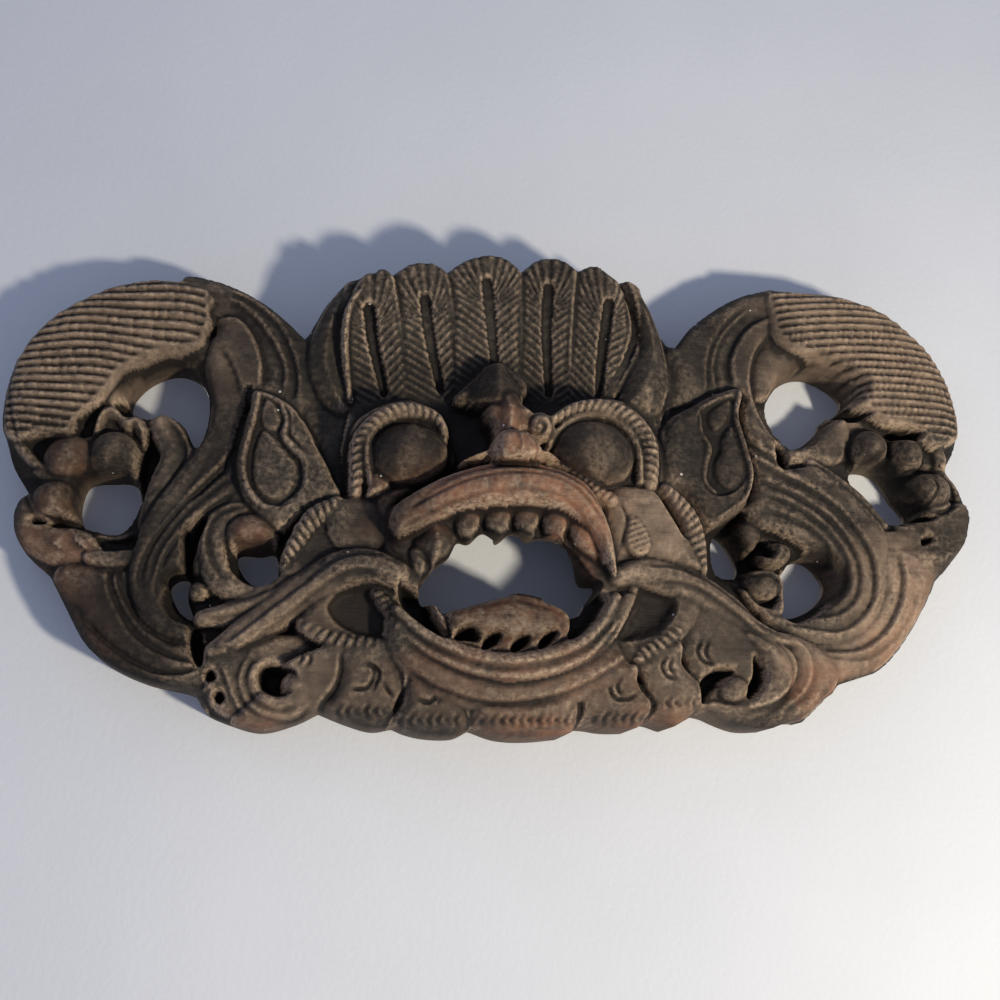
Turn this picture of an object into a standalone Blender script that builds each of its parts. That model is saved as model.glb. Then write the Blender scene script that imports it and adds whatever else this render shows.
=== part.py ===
"""Carved wooden panel: a monster's face between two pierced scroll wings, cut from one plank.

The carving is worked out as heights above a flat back, over a plan whose outline and openings are
smooth curves. Its forms are placed on a layout sheet of 1000 x 1000 units that shows the panel from
low on its left; spot() carries a place on the sheet to the plan for the height it is carved at.
"""
import math

import bmesh
import bpy
import numpy as np
from mathutils import Vector
from mathutils.geometry import delaunay_2d_cdt
from mathutils.kdtree import KDTree

# Driving sizes, in metres
WIDTH = 0.525                # over both wings
DEPTH = 0.084                # back to the tip of the nose
GROUND_THICKNESS = 0.012     # wood left under the deepest sunk ground
TOOTH_HOLLOW = 0.046         # depth of the hollow cut from the back behind the upper teeth
TOOTH_WALL = 0.006           # least wood left between that hollow and the front
HANGING_POINT = (487, 400)   # layout place of the flat on the back that meets the wall

# The layout sheet
SIGHT_DISTANCE = 1321.0      # units from the eye to the sheet
SIGHT_TURN = -8.0            # degrees the eye stands to the left
SIGHT_TILT = -15.0           # degrees it stands below
SHEET_CENTRE = 500.0
LAYOUT_DEPTH = 84.0          # height, in layout heights, of the nose tip; all heights are shares of it
PER_UNIT = 0.56              # layout heights in one unit of the sheet
CURVE_STEP = 4.0             # units between the places of a smooth curve
FACING_BLEND = 0.06          # how softly an edge passes from its back to its front line
FACING_PASSES = 8

# Heights at which edges were laid out
RIM_HEIGHT = 31.0
CREST_RIM = 50.0             # height of the rim along the top of the crest
OPENING_EDGE = 24.0
MOUTH_EDGE = 56.0
OUTLINE_ROUND = 7.0          # units over which the front is worn round at the outline
OUTLINE_FALL = 0.86          # share of its height left at the outline
OPENING_ROUND = 10.0         # the same at the openings of the wings
OPENING_FALL = 0.60
NARROW_ROUND = 4.0
NARROW_OPENINGS = ("left gap", "left slit", "right middle", "right slit")
EASE_FROM = 2.0              # rise between neighbours that counts as a steep wall

# Mesh
PLAN_STEP = 4.2              # units between plan places
EASE_PASSES = 2
SOLID_TRIANGLES = 9400
BACK_LEVELLING = 0.0008      # what lies nearer to the back than this is drawn onto it

# Wood
WOOD_COLOUR = (0.092, 0.066, 0.047, 1.0)
WOOD_ROUGHNESS = 0.68

LIFT = DEPTH / LAYOUT_DEPTH
GROUND = GROUND_THICKNESS / LIFT
MOUTH_HOLLOW = TOOTH_HOLLOW / LIFT
THINNEST_WALL = TOOTH_WALL / LIFT


def sight_axes():
    """Unit vectors of the layout's line of sight: towards the eye, to its right, and up."""
    turn, tilt = math.radians(SIGHT_TURN), math.radians(SIGHT_TILT)
    ct, st, cl, sl = math.cos(turn), math.sin(turn), math.cos(tilt), math.sin(tilt)
    back = np.array([st * cl, -ct * cl, sl])
    right = np.array([ct, st, 0.0])
    up = np.array([-sl * st, sl * ct, cl])
    return back, right, up


def spot(x, y, height):
    """Plan place, in layout units, of a layout point that is carved at a height above the back."""
    back, right, up = sight_axes()
    eye = back * SIGHT_DISTANCE
    u = (np.asarray(x, float) - SHEET_CENTRE) / SIGHT_DISTANCE
    v = (SHEET_CENTRE - np.asarray(y, float)) / SIGHT_DISTANCE
    ray = [-back[i] + right[i] * u + up[i] * v for i in range(3)]
    reach = (-np.asarray(height, float) / PER_UNIT - eye[1]) / ray[1]
    return eye[0] + reach * ray[0], eye[2] + reach * ray[2]


def curve(points, closed=False):
    """Smooth curve through rows of values; its first two columns are a place."""
    p = np.array(points, float)
    if closed:
        q = np.vstack([p[-1], p, p[:2]])
    else:
        q = np.vstack([2 * p[0] - p[1], p, 2 * p[-1] - p[-2]])
    out = []
    for a, b, c, d in zip(q[:-3], q[1:-2], q[2:-1], q[3:]):
        steps = max(1, int(np.hypot(*(c[:2] - b[:2])) / CURVE_STEP))
        s = (np.arange(steps) / steps)[:, None]
        bend = (2 * a - 5 * b + 4 * c - d) * s ** 2 + (3 * b - a - 3 * c + d) * s ** 3
        out.append(0.5 * (2 * b + (c - a) * s + bend))
    if not closed:
        out.append(p[-1:])
    return np.vstack(out)


def within(px, pz, ox, oz):
    """True for the plan points that lie inside a closed outline."""
    inner = np.zeros(px.shape, bool)
    for x1, z1, x2, z2 in zip(ox, oz, np.roll(ox, -1), np.roll(oz, -1)):
        if z1 != z2:
            crossed = (z1 > pz) != (z2 > pz)
            inner[crossed] ^= px[crossed] < (x2 - x1) * (pz[crossed] - z1) / (z2 - z1) + x1
    return inner


def nearest(px, pz, ox, oz):
    """Distance to a line, place along it in steps, side of it, and whether the place is past an end."""
    best = np.full(px.shape, np.inf)
    place, side = np.zeros(px.shape), np.zeros(px.shape)
    past = np.zeros(px.shape, bool)
    last = len(ox) - 2
    for i in range(last + 1):
        dx, dz = ox[i + 1] - ox[i], oz[i + 1] - oz[i]
        length = dx * dx + dz * dz + 1e-12
        share = ((px - ox[i]) * dx + (pz - oz[i]) * dz) / length
        held = np.clip(share, 0, 1)
        gap = (px - ox[i] - held * dx) ** 2 + (pz - oz[i] - held * dz) ** 2
        near = gap < best
        best[near] = gap[near]
        place[near] = i + held[near]
        side[near] = np.sign((px - ox[i]) * dz - (pz - oz[i]) * dx)[near]
        past[near] = ((i == 0) & (share[near] < 0)) | ((i == last) & (share[near] > 1))
    return np.sqrt(best), place, side, past


def domed(t):
    return np.sqrt(np.clip(1 - t * t, 0, 1))


def flat(t):
    return np.clip(1 - np.abs(t) ** 5, 0, 1) ** 0.4


def keel(t):
    return 1 - np.abs(t) ** 1.2


def high_left(t):
    return np.sqrt(np.clip(1 - ((t + 1) / 2) ** 2, 0, 1))


def high_right(t):
    return np.sqrt(np.clip(1 - ((1 - t) / 2) ** 2, 0, 1))


def run(places, width, height):
    """Rows of (x, y, half width, height) for places on the layout; widths and heights spread along them."""
    p = np.array(places, float)
    far = np.concatenate([[0], np.cumsum(np.hypot(*np.diff(p, axis=0).T))])
    far = far / far[-1]
    spread = []
    for value in (width, height):
        value = np.atleast_1d(value).astype(float)
        spread.append(np.interp(far, np.linspace(0, 1, len(value)), value))
    return np.column_stack([p, spread[0], spread[1]])


class Relief:
    """Heights above the back, in layout heights, at a set of plan places in layout units."""

    def __init__(self, px, pz):
        self.px, self.pz = px, pz
        self.h = np.full(px.shape, GROUND)
        self.back = np.zeros(px.shape)

    def around(self, ox, oz, pad):
        wide = (self.px > ox.min() - pad) & (self.px < ox.max() + pad)
        return np.nonzero(wide & (self.pz > oz.min() - pad) & (self.pz < oz.max() + pad))[0]

    def lay(self, where, new, cover, mode):
        old = self.h[where]
        mixed = {"max": np.maximum(old, new), "min": np.minimum(old, new), "over": new, "add": old + new}[mode]
        self.h[where] = np.where(cover, mixed, old)

    def fill(self, outline, height, drop=0.0, roll=4.0, mode="max", lean=(0.0, 0.0), sharp=False):
        """Area with its top at a height, rounded down by drop over the roll at its edge."""
        p = np.array(outline, float) if sharp else curve(outline, closed=True)
        ox, oz = spot(p[:, 0], p[:, 1], height)
        where = self.around(ox, oz, 1)
        px, pz = self.px[where], self.pz[where]
        cover = within(px, pz, ox, oz)
        top = height + (lean[0] * (px - ox.mean()) + lean[1] * (pz - oz.mean())) * PER_UNIT
        if drop:
            gap = np.zeros(px.shape)
            ring_x, ring_z = np.append(ox, ox[0]), np.append(oz, oz[0])
            gap[cover] = nearest(px[cover], pz[cover], ring_x, ring_z)[0] * PER_UNIT
            top = top - drop * (1 - domed(1 - np.clip(gap / roll, 0, 1)))
        self.lay(where, top, cover, mode)

    def stroke(self, rows, profile=domed, drop=10.0, mode="max", cut=False):
        """Bar along a smooth line."""
        p = curve(rows)
        ox, oz = spot(p[:, 0], p[:, 1], p[:, 3])
        where = self.around(ox, oz, p[:, 2].max() + 1)
        px, pz = self.px[where], self.pz[where]
        gap, place, side, past = nearest(px, pz, ox, oz)
        i = np.clip(place.astype(int), 0, len(p) - 2)
        f = place - i
        half = np.maximum(p[i, 2] * (1 - f) + p[i + 1, 2] * f, 0.5)
        height = p[i, 3] * (1 - f) + p[i + 1, 3] * f
        t = side * gap / half
        cover = np.abs(t) < 1
        if cut:
            cover &= ~past
        new = height - drop * (1 - profile(np.clip(t, -1, 1)))
        self.lay(where, new, cover, mode)

    def ball(self, x, y, across, height, up=None, turn=0.0, drop=None, mode="max"):
        """Dome on an ellipse."""
        up = up or across
        drop = across * PER_UNIT if drop is None else drop
        cx, cz = spot(x, y, height - drop / 2)
        reach = max(across, up)
        where = self.around(np.array([cx]), np.array([cz]), reach)
        dx, dz = self.px[where] - cx, self.pz[where] - cz
        c, s = math.cos(math.radians(turn)), math.sin(math.radians(turn))
        q = ((dx * c - dz * s) / across) ** 2 + ((dx * s + dz * c) / up) ** 2
        self.lay(where, height - drop * (1 - np.sqrt(np.clip(1 - q, 0, 1))), q < 1, mode)

    def line(self, places, width, depth, height):
        """Groove (or, with a depth below nought, bead) of a width and a depth."""
        p = curve(places)
        ox, oz = spot(p[:, 0], p[:, 1], height)
        reach = width / PER_UNIT
        where = self.around(ox, oz, reach * 2.5)
        gap, place = nearest(self.px[where], self.pz[where], ox, oz)[:2]
        ends = np.clip(np.minimum(place, len(p) - 1 - place) / 3 + 0.35, 0, 1)
        self.h[where] -= depth * ends * np.exp(-(gap / reach) ** 2)

    def cut(self, places, depth, reach, height, low=1):
        """Step where one layer of the carving passes under the next: low = 1 sinks its right side, -1 its left."""
        p = curve(places)
        ox, oz = spot(p[:, 0], p[:, 1], height)
        where = self.around(ox, oz, reach / PER_UNIT * 2.5)
        gap, place, side, past = nearest(self.px[where], self.pz[where], ox, oz)
        ends = np.clip(np.minimum(place, len(p) - 1 - place) / 4, 0, 1)
        down = gap * PER_UNIT * side * low
        sunk = np.clip((down + 0.6) / 1.8, 0, 1) * np.exp(-(np.clip(down, 0, None) / reach) ** 2)
        lip = 0.16 * np.exp(-((down + 1.4) / 1.5) ** 2)
        self.h[where] += depth * ends * (lip - sunk) * ~past

    def pit(self, outline, floor, wall=2.5, height=None):
        """Sunk area with steep walls."""
        p = curve(outline, closed=True)
        ox, oz = spot(p[:, 0], p[:, 1], floor + 12 if height is None else height)
        where = self.around(ox, oz, 1)
        where = where[within(self.px[where], self.pz[where], ox, oz)]
        gap = nearest(self.px[where], self.pz[where], np.append(ox, ox[0]), np.append(oz, oz[0]))[0] * PER_UNIT
        old = self.h[where]
        self.h[where] = np.minimum(old, floor + (old - floor) * np.clip(1 - gap / wall, 0, 1) ** 2)

    def hollow_back(self, outline, depth, wall=6.0):
        p = curve(outline, closed=True)
        ox, oz = spot(p[:, 0], p[:, 1], depth)
        where = self.around(ox, oz, 1)
        where = where[within(self.px[where], self.pz[where], ox, oz)]
        gap = nearest(self.px[where], self.pz[where], np.append(ox, ox[0]), np.append(oz, oz[0]))[0] * PER_UNIT
        self.back[where] = np.maximum(self.back[where], depth * np.clip(gap / wall, 0, 1))


def wings_ground(r):
    """Sunk ground from which both wings are carved."""
    r.fill([(-20, 250), (330, 250), (330, 560), (240, 760), (-20, 760)], 25, sharp=True)
    r.fill([(650, 250), (1000, 250), (1000, 760), (760, 760), (680, 560)], 25, sharp=True)
    r.fill([(300, 250), (680, 250), (700, 600), (640, 760), (300, 760), (290, 500)], 32, sharp=True)


def left_wing_shell(r):
    """Ridged shell that fills the upper left of the wing, with a plain band under it."""
    shell = [(208, 283), (170, 273), (120, 277), (72, 296), (40, 318), (14, 350), (0, 390), (-2, 425),
             (17, 438), (40, 431), (66, 432), (78, 417), (92, 405), (106, 390), (120, 371), (140, 359),
             (165, 351), (190, 347), (203, 341), (207, 330), (212, 318), (210, 300)]
    band = [(203, 339), (165, 349), (122, 366), (104, 390), (100, 404), (128, 403), (148, 392), (165, 384),
            (184, 380), (202, 384), (220, 380), (228, 356), (216, 334)]
    r.fill(band, 33, 4, 6)
    r.fill(shell, 43, 9, 17)
    r.line([(16, 352), (10, 385), (12, 415), (18, 440)], 1.0, 1.6, 36)


def left_wing_side(r):
    """Balls, curling lobes and the cuffed strut down the left edge."""
    r.fill([(-5, 425), (40, 436), (72, 430), (100, 408), (136, 412), (150, 445), (148, 490), (140, 560),
            (60, 575), (10, 570), (0, 520), (10, 490)], 26, 3, 4)
    r.fill([(60, 436), (92, 432), (100, 460), (100, 488), (80, 502), (52, 486), (30, 470), (44, 462), (66, 466),
            (82, 452)], 33, 7, 7)
    r.pit([(19, 437), (44, 430), (70, 434), (84, 448), (60, 474), (40, 467), (26, 452)], 19)
    r.ball(69, 457, 26, 41, 23, turn=-25, drop=17)
    r.stroke(run([(12, 395), (10, 420), (18, 442), (32, 460), (50, 470)], [5, 6, 6, 4], [36, 34, 33]), domed, 7)
    r.ball(56, 500, 24, 41, 21, drop=16)
    r.ball(113, 457, 25, 43, 28, drop=17)
    r.stroke(run([(95, 428), (101, 412), (110, 408), (119, 412), (127, 421), (134, 418), (141, 428), (146, 441)],
                 [5, 7, 6, 7, 4], [36, 38, 37]), keel, 7)
    r.pit([(76, 420), (92, 407), (103, 405), (97, 414), (90, 432), (78, 434)], 17)
    r.pit([(114, 405), (128, 401), (131, 412), (126, 420), (118, 411)], 17)
    r.pit([(139, 470), (147, 443), (153, 431), (163, 448), (169, 470), (163, 495), (150, 517), (141, 505)], 14)
    r.fill([(20, 492), (34, 500), (48, 520), (80, 528), (98, 542), (98, 556), (70, 566), (40, 560), (12, 540), (8, 512)],
           33, 7, 8)
    r.stroke(run([(40, 524), (62, 526), (82, 528)], 3.5, 20), flat, 2, mode="min")
    r.stroke(run([(28, 494), (34, 508), (48, 520)], [3, 5, 3], [33, 35, 33]), keel, 4)
    r.stroke(run([(48, 533), (60, 539), (72, 548)], [4, 7, 5], [32, 35, 33]), high_right, 4)
    r.stroke(run([(72, 529), (84, 538), (96, 549)], [4, 7, 5], [32, 36, 34]), high_right, 5)
    r.pit([(97, 533), (116, 535), (133, 533), (133, 547), (99, 546)], 20)
    r.fill([(84, 550), (108, 549), (134, 548), (136, 563), (108, 567), (84, 562)], 36, 5, 3)


def left_wing_body(r):
    """Broad scroll body that sweeps from the strut round to the lower curls."""
    body = [(60, 560), (110, 562), (133, 566), (133, 592), (144, 614), (170, 633), (200, 642), (212, 660),
            (204, 716), (165, 700), (128, 686), (88, 660), (60, 622), (48, 585)]
    r.fill(body, 37, 11, 16)
    for places, depth in (([(107, 564), (108, 585), (116, 608), (132, 634), (152, 650), (176, 660), (204, 665)], 2.2),
                          ([(113, 566), (118, 590), (130, 612), (148, 632), (176, 648)], 1.4),
                          ([(83, 620), (97, 637), (120, 656), (150, 672), (178, 675), (202, 668)], 1.8),
                          ([(70, 600), (84, 628), (110, 655), (140, 672)], 0.8)):
        r.cut(places, depth, 3.0, 36, low=-1)


def left_leaf(r):
    """Pointed leaf between the two upper holes, split by a groove."""
    r.fill([(163, 409), (178, 415), (190, 430), (198, 448), (196, 465), (186, 484), (170, 503), (150, 530),
            (140, 545), (136, 520), (142, 492), (150, 470), (158, 450), (150, 432), (148, 417)], 35, 7, 7)
    r.cut([(163, 412), (175, 424), (184, 438), (187, 454), (182, 472), (168, 492), (150, 515)], 3.0, 4.0, 34, low=1)


def left_strands(r):
    """Bundle of strands from the wing top, behind the ear leaf and round to the lower scroll."""
    neck = [(180, 300), (184, 270), (211, 274), (240, 282), (276, 300), (306, 330), (318, 352), (318, 380), (312, 404), (296, 414), (268, 396),
            (250, 400), (246, 430), (240, 462), (246, 500), (226, 505), (210, 512), (196, 526), (190, 545), (186, 566),
            (168, 582), (162, 598), (168, 614), (194, 630), (204, 640), (172, 638), (142, 622), (130, 596), (128, 566),
            (138, 540), (160, 512), (184, 482), (198, 455), (206, 428), (208, 405), (202, 384), (206, 350), (214, 322)]
    r.fill(neck, 37, 5, 8)
    r.stroke(run([(222, 350), (226, 380), (224, 408), (214, 436), (196, 464), (174, 492), (154, 518), (142, 545),
                  (136, 572), (140, 598), (156, 617), (184, 630)], [7, 10, 10, 8, 7, 6], [34, 36, 38, 38, 38, 35]),
             domed, 4)
    for places, depth, reach, low in (
            ([(206, 292), (214, 300), (210, 314), (213, 324), (204, 334), (206, 342)], 2.6, 5.0, -1),
            ([(226, 290), (256, 304), (280, 328), (294, 358), (298, 386), (293, 404)], 2.6, 4.5, 1),
            ([(224, 296), (250, 312), (272, 340), (284, 368), (282, 396)], 2.2, 4.0, 1),
            ([(214, 318), (238, 319), (254, 338), (262, 366), (260, 390)], 4.0, 7.0, -1),
            ([(220, 344), (232, 362), (240, 384), (242, 400)], 1.6, 3.0, 1),
            ([(247, 396), (244, 416), (238, 438), (226, 460), (206, 482), (186, 500)], 3.0, 4.0, -1),
            ([(230, 460), (212, 475), (190, 495), (168, 520), (150, 545), (138, 572), (138, 590)], 2.4, 3.5, -1),
            ([(234, 474), (214, 488), (190, 508), (170, 530), (154, 555), (148, 582)], 1.8, 3.0, -1),
            ([(236, 490), (208, 508), (184, 528), (166, 552), (156, 580), (156, 600)], 2.4, 3.0, -1)):
        r.cut(places, depth, reach, 35, low=low)
    r.pit([(184, 536), (192, 532), (195, 552), (196, 578), (184, 582), (184, 556)], 15)
    r.stroke(run([(250, 388), (247, 412), (240, 436), (235, 462), (240, 488)], [2.5, 3.5, 2.5], 34), flat, 1, mode="min")


def left_ear(r):
    """Broad leaf beside the left eye with a teardrop boss inside a raised rim."""
    leaf = [(255, 386), (285, 397), (303, 416), (318, 444), (333, 474), (342, 495), (318, 503), (296, 517),
            (279, 528), (256, 510), (240, 490), (235, 460), (243, 425), (249, 403)]
    r.fill(leaf, 45, 8, 7)
    r.pit([(260, 393), (276, 398), (290, 410), (292, 432), (304, 450), (309, 470), (300, 492), (284, 506), (262, 502),
           (246, 484), (246, 456), (252, 430), (256, 408)], 41, 2.2, 45)
    r.fill([(266, 397), (277, 406), (281, 420), (276, 430), (265, 428), (260, 414)], 44, 3, 3)
    r.fill([(261, 430), (272, 433), (286, 449), (297, 463), (295, 484), (283, 498), (266, 498), (253, 482), (252, 456)],
           44, 4, 4)
    r.stroke(run([(282, 404), (287, 420), (284, 434), (294, 446), (305, 458), (308, 478), (300, 494), (284, 505)],
                 [3, 4, 5, 5, 3], [44, 46, 46, 44]), domed, 5)
    r.stroke(run([(258, 392), (254, 412), (247, 437), (242, 462), (247, 486), (262, 504), (282, 512)],
                 4, [46, 47, 46, 45]), domed, 6)


def crest(r):
    """Fan of five broad feathers standing above the brow between two plain rims."""
    fan = [(345, 280), (392, 272), (442, 266), (520, 262), (575, 266), (616, 276), (640, 290), (640, 360),
           (612, 404), (545, 404), (500, 400), (456, 402), (404, 402), (372, 404), (345, 404), (338, 330)]
    r.fill(fan, 43, 2, 4, lean=(0, 0.16), sharp=True)
    feathers = {
        "a": ([(345, 412), (343, 340), (350, 300), (366, 277), (390, 271), (397, 300), (404, 340), (412, 410)], 45),
        "b": ([(408, 410), (398, 300), (393, 277), (415, 265), (444, 270), (451, 300), (456, 340), (462, 410)], 46),
        "c": ([(460, 408), (452, 300), (447, 273), (478, 259), (512, 261), (521, 275), (521, 330), (522, 408)], 48),
        "d": ([(519, 410), (520, 330), (521, 276), (545, 260), (575, 269), (573, 310), (570, 350), (568, 410)], 46),
        "e": ([(570, 410), (572, 310), (577, 274), (600, 267), (616, 284), (628, 318), (626, 352), (600, 406)], 45),
    }
    ribs = {
        "a": [(384, 396), (373, 345), (369, 312)],
        "b": [(440, 392), (429, 335), (425, 302)],
        "c": [(496, 388), (491, 325), (487, 285)],
        "d": [(548, 396), (546, 335), (548, 291)],
        "e": [(597, 398), (602, 350), (608, 306)],
    }
    for name in sorted(feathers):
        outline, height = feathers[name]
        r.fill(outline, height, 6, 5, lean=(0, 0.28))
    for name in sorted(ribs):
        floors = [feathers[name][1] - 3.8 + 0.157 * (337 - y) for _, y in ribs[name]]
        r.stroke(run(ribs[name], [3.5, 5, 5.5], floors), flat, 0.5, mode="min")
    for edge in ([(410, 396), (400, 325), (392, 276)], [(460, 396), (451, 300), (445, 272)],
                 [(521, 396), (521, 320), (520, 272)], [(569, 400), (571, 330), (575, 271)]):
        r.stroke(run(edge, [2.5, 3], [36, 56]), domed, 3)
    r.stroke(run([(617, 284), (630, 310), (634, 338), (622, 370), (604, 396)], 4, 39), flat, 2, mode="min")


def crest_rims(r):
    """Plain flanks that close the fan at both sides and fall behind the brows to the cheeks."""
    r.fill([(305, 342), (330, 330), (350, 350), (352, 400), (350, 470), (345, 500), (330, 500), (318, 450), (300, 412)],
           34, 4, 5)
    r.fill([(640, 350), (668, 356), (674, 400), (664, 440), (664, 484), (650, 484), (650, 430), (630, 402)], 36, 4, 5)
    r.fill([(388, 270), (362, 270), (340, 282), (322, 305), (308, 340), (308, 372), (330, 404), (352, 404), (346, 360),
            (347, 320), (356, 298), (374, 282)], 47, 12, 20, lean=(0, 0.05))
    r.stroke(run([(376, 280), (358, 292), (349, 307), (345, 332), (346, 360), (350, 398)],
                 [3, 4, 4, 3], [54, 54, 51, 44]), domed, 6)
    r.fill([(616, 276), (634, 279), (652, 300), (668, 340), (674, 380), (664, 410), (640, 412), (622, 400), (630, 368),
            (641, 340), (636, 312), (624, 292)], 48, 12, 18, lean=(0, 0.05))
    r.cut([(669, 352), (671, 385), (664, 412), (662, 450)], 2.0, 4.0, 38, low=-1)


def brow_field(r):
    """Sunk field under the fan, from which forehead, nose and eyes stand out."""
    r.fill([(350, 404), (404, 400), (520, 398), (600, 402), (655, 412), (664, 470), (645, 500),
            (345, 500), (340, 450)], 37, sharp=True)


def forehead(r):
    """Two stepped bosses over the nose, each with a centre edge."""
    r.fill([(455, 392), (476, 373), (499, 357), (514, 366), (530, 380), (526, 392), (510, 400), (484, 402), (462, 400)],
           55, 9, 8)
    r.stroke(run([(499, 360), (500, 380), (499, 400)], [12, 26, 26], [59, 66, 66]), keel, 13, cut=True)
    r.fill([(486, 404), (505, 397), (522, 399), (536, 408), (530, 418), (512, 428), (496, 422)], 66, 10, 7)
    r.stroke(run([(508, 396), (512, 410), (510, 428)], [14, 18, 12], [68, 71, 70]), keel, 9)


def nose(r):
    """Square flared nose with a thin wing at each nostril."""
    r.fill([(502, 425), (518, 427), (532, 436), (546, 447), (543, 456), (520, 459), (500, 458), (494, 450), (498, 438)],
           79, 8, 6)
    r.stroke(run([(512, 424), (518, 438), (522, 456)], [12, 17, 19], [76, 83, 84]), domed, 9, cut=True)
    r.stroke(run([(500, 444), (484, 450), (463, 458)], [6, 6, 3], [74, 72, 68]), domed, 6)
    r.stroke(run([(538, 446), (550, 451), (563, 458)], [6, 6, 3], [74, 72, 68]), domed, 6)


def eyes(r):
    """Bulging eyes, each in a lid and under a roped brow that ends in a volute."""
    r.fill([(540, 440), (552, 414), (590, 396), (630, 400), (662, 440), (664, 490), (610, 505), (560, 478)], 46, 8, 8)
    r.ball(595, 451, 41, 69, 34, turn=14, drop=22)
    r.stroke(run([(546, 452), (556, 432), (570, 420), (590, 412), (612, 414), (630, 429), (640, 450), (642, 480)],
                 [3, 4, 4.5, 4, 3], [58, 61, 60, 54]), domed, 5)
    r.stroke(run([(552, 418), (575, 405), (600, 402), (624, 409), (643, 425), (653, 448), (653, 482)],
                 [5, 6, 7, 8, 9, 8], [64, 65, 64, 58, 52]), domed, 8)
    r.ball(541, 424, 15, 68, drop=10)
    r.cut([(534, 432), (530, 420), (540, 412), (551, 418), (548, 430), (540, 430)], 2.0, 2.5, 66, low=-1)
    r.stroke(run([(548, 458), (566, 467), (584, 478), (600, 490), (613, 498)], [3, 4, 6, 9], [58, 60, 60, 58]), domed, 8)
    r.fill([(452, 440), (444, 412), (410, 396), (372, 406), (350, 430), (348, 490), (380, 496), (430, 482), (456, 462)],
           46, 8, 8)
    r.ball(409, 451, 38, 67, 31, turn=-10, drop=21)
    r.stroke(run([(446, 438), (436, 424), (420, 415), (400, 413), (382, 419), (369, 434), (367, 456), (372, 486)],
                 [3, 4, 4.5, 4, 3], [58, 61, 60, 54]), domed, 5)
    r.stroke(run([(446, 428), (436, 413), (412, 405), (390, 408), (370, 422), (359, 440), (357, 466), (356, 490)],
                 [5, 6, 7, 8, 8, 7], [64, 65, 64, 56, 50]), domed, 8)
    r.fill([(374, 470), (382, 474), (392, 484), (382, 492), (366, 494), (370, 482)], 56, 6, 4)


def upper_lip(r):
    """Arched upper lip with a crease along it."""
    lip = [(390, 518), (396, 500), (416, 486), (446, 471), (482, 460), (516, 457), (550, 461), (580, 473),
           (597, 488), (608, 508), (616, 535), (620, 572), (604, 548), (590, 526), (574, 511), (545, 500),
           (500, 499), (474, 506), (450, 514), (420, 526), (398, 533)]
    r.fill(lip, 70, 9, 7)
    r.stroke(run([(404, 514), (430, 501), (470, 487), (512, 481), (552, 484), (582, 498), (602, 525), (612, 556)],
                 [10, 14, 17, 18, 16, 12, 7], [68, 74, 79, 80, 78, 72, 66]), domed, 10)
    r.line([(412, 504), (440, 490), (475, 477), (512, 472), (550, 475), (580, 488), (602, 512)], 1.0, 1.5, 76)
    r.line([(410, 520), (440, 506), (478, 494), (512, 490), (548, 492), (576, 505), (598, 530)], 0.9, 1.0, 76)


def teeth(r):
    """Rounded pegs under the lip, two fangs, and the plate of lower teeth with the tongue."""
    r.fill([(396, 590), (398, 556), (412, 528), (440, 508), (480, 496), (520, 492), (572, 500), (606, 530), (622, 575),
            (610, 600), (596, 585), (570, 552), (530, 545), (480, 548), (450, 566), (430, 590)], 53, 3, 3)
    r.stroke(run([(410, 534), (440, 524), (480, 511), (520, 506), (556, 512), (584, 530), (604, 562)],
                 [6, 9, 10, 10, 9, 6], [56, 58, 60, 58, 56]), domed, 6)
    for x, y, tip, wide in ((468, 516, 540, 14), (499, 512, 538, 14), (528, 512, 537, 14), (557, 515, 541, 14)):
        r.stroke(run([(x, y - 8), (x + 1, (y + tip) / 2), (x + 3, tip - 3)], [wide, wide - 1, 6], [64, 65, 60]), domed, 8)
    r.stroke(run([(578, 520), (588, 536), (597, 556)], [10, 11, 4], [62, 64, 58]), domed, 8)
    r.stroke(run([(436, 524), (438, 545), (433, 566)], [19, 17, 5], [62, 66, 58]), keel, 9)
    r.stroke(run([(402, 530), (404, 548), (406, 566)], [14, 14, 8], [54, 54, 50]), domed, 8)
    r.stroke(run([(418, 552), (420, 566), (420, 577)], [8, 8, 3], [58, 58, 54]), domed, 6)
    plate = [(446, 612), (470, 603), (492, 597), (512, 592), (532, 593), (546, 598), (562, 602), (576, 608),
             (590, 614), (580, 640), (540, 655), (480, 655), (448, 642)]
    r.fill(plate, 56, 6, 5)
    r.fill([(452, 612), (484, 604), (514, 598), (544, 604), (570, 616), (560, 632), (516, 642), (462, 634)], 60, 7, 9)
    for pit in ([(453, 638), (462, 629), (474, 632), (468, 641)], [(480, 650), (486, 639), (497, 636), (492, 649)],
                [(510, 653), (515, 642), (526, 638), (522, 650)], [(536, 650), (542, 639), (554, 634), (546, 649)],
                [(566, 638), (566, 624), (578, 620), (577, 635)]):
        r.pit(pit, 40, 1.2, 50)
    r.pit([(398, 585), (425, 598), (442, 612), (449, 640), (430, 632), (405, 612)], 26, 3, 45)
    r.stroke(run([(430, 602), (442, 618), (449, 638)], [3, 5, 3], [48, 52, 50]), domed, 6)


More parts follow.
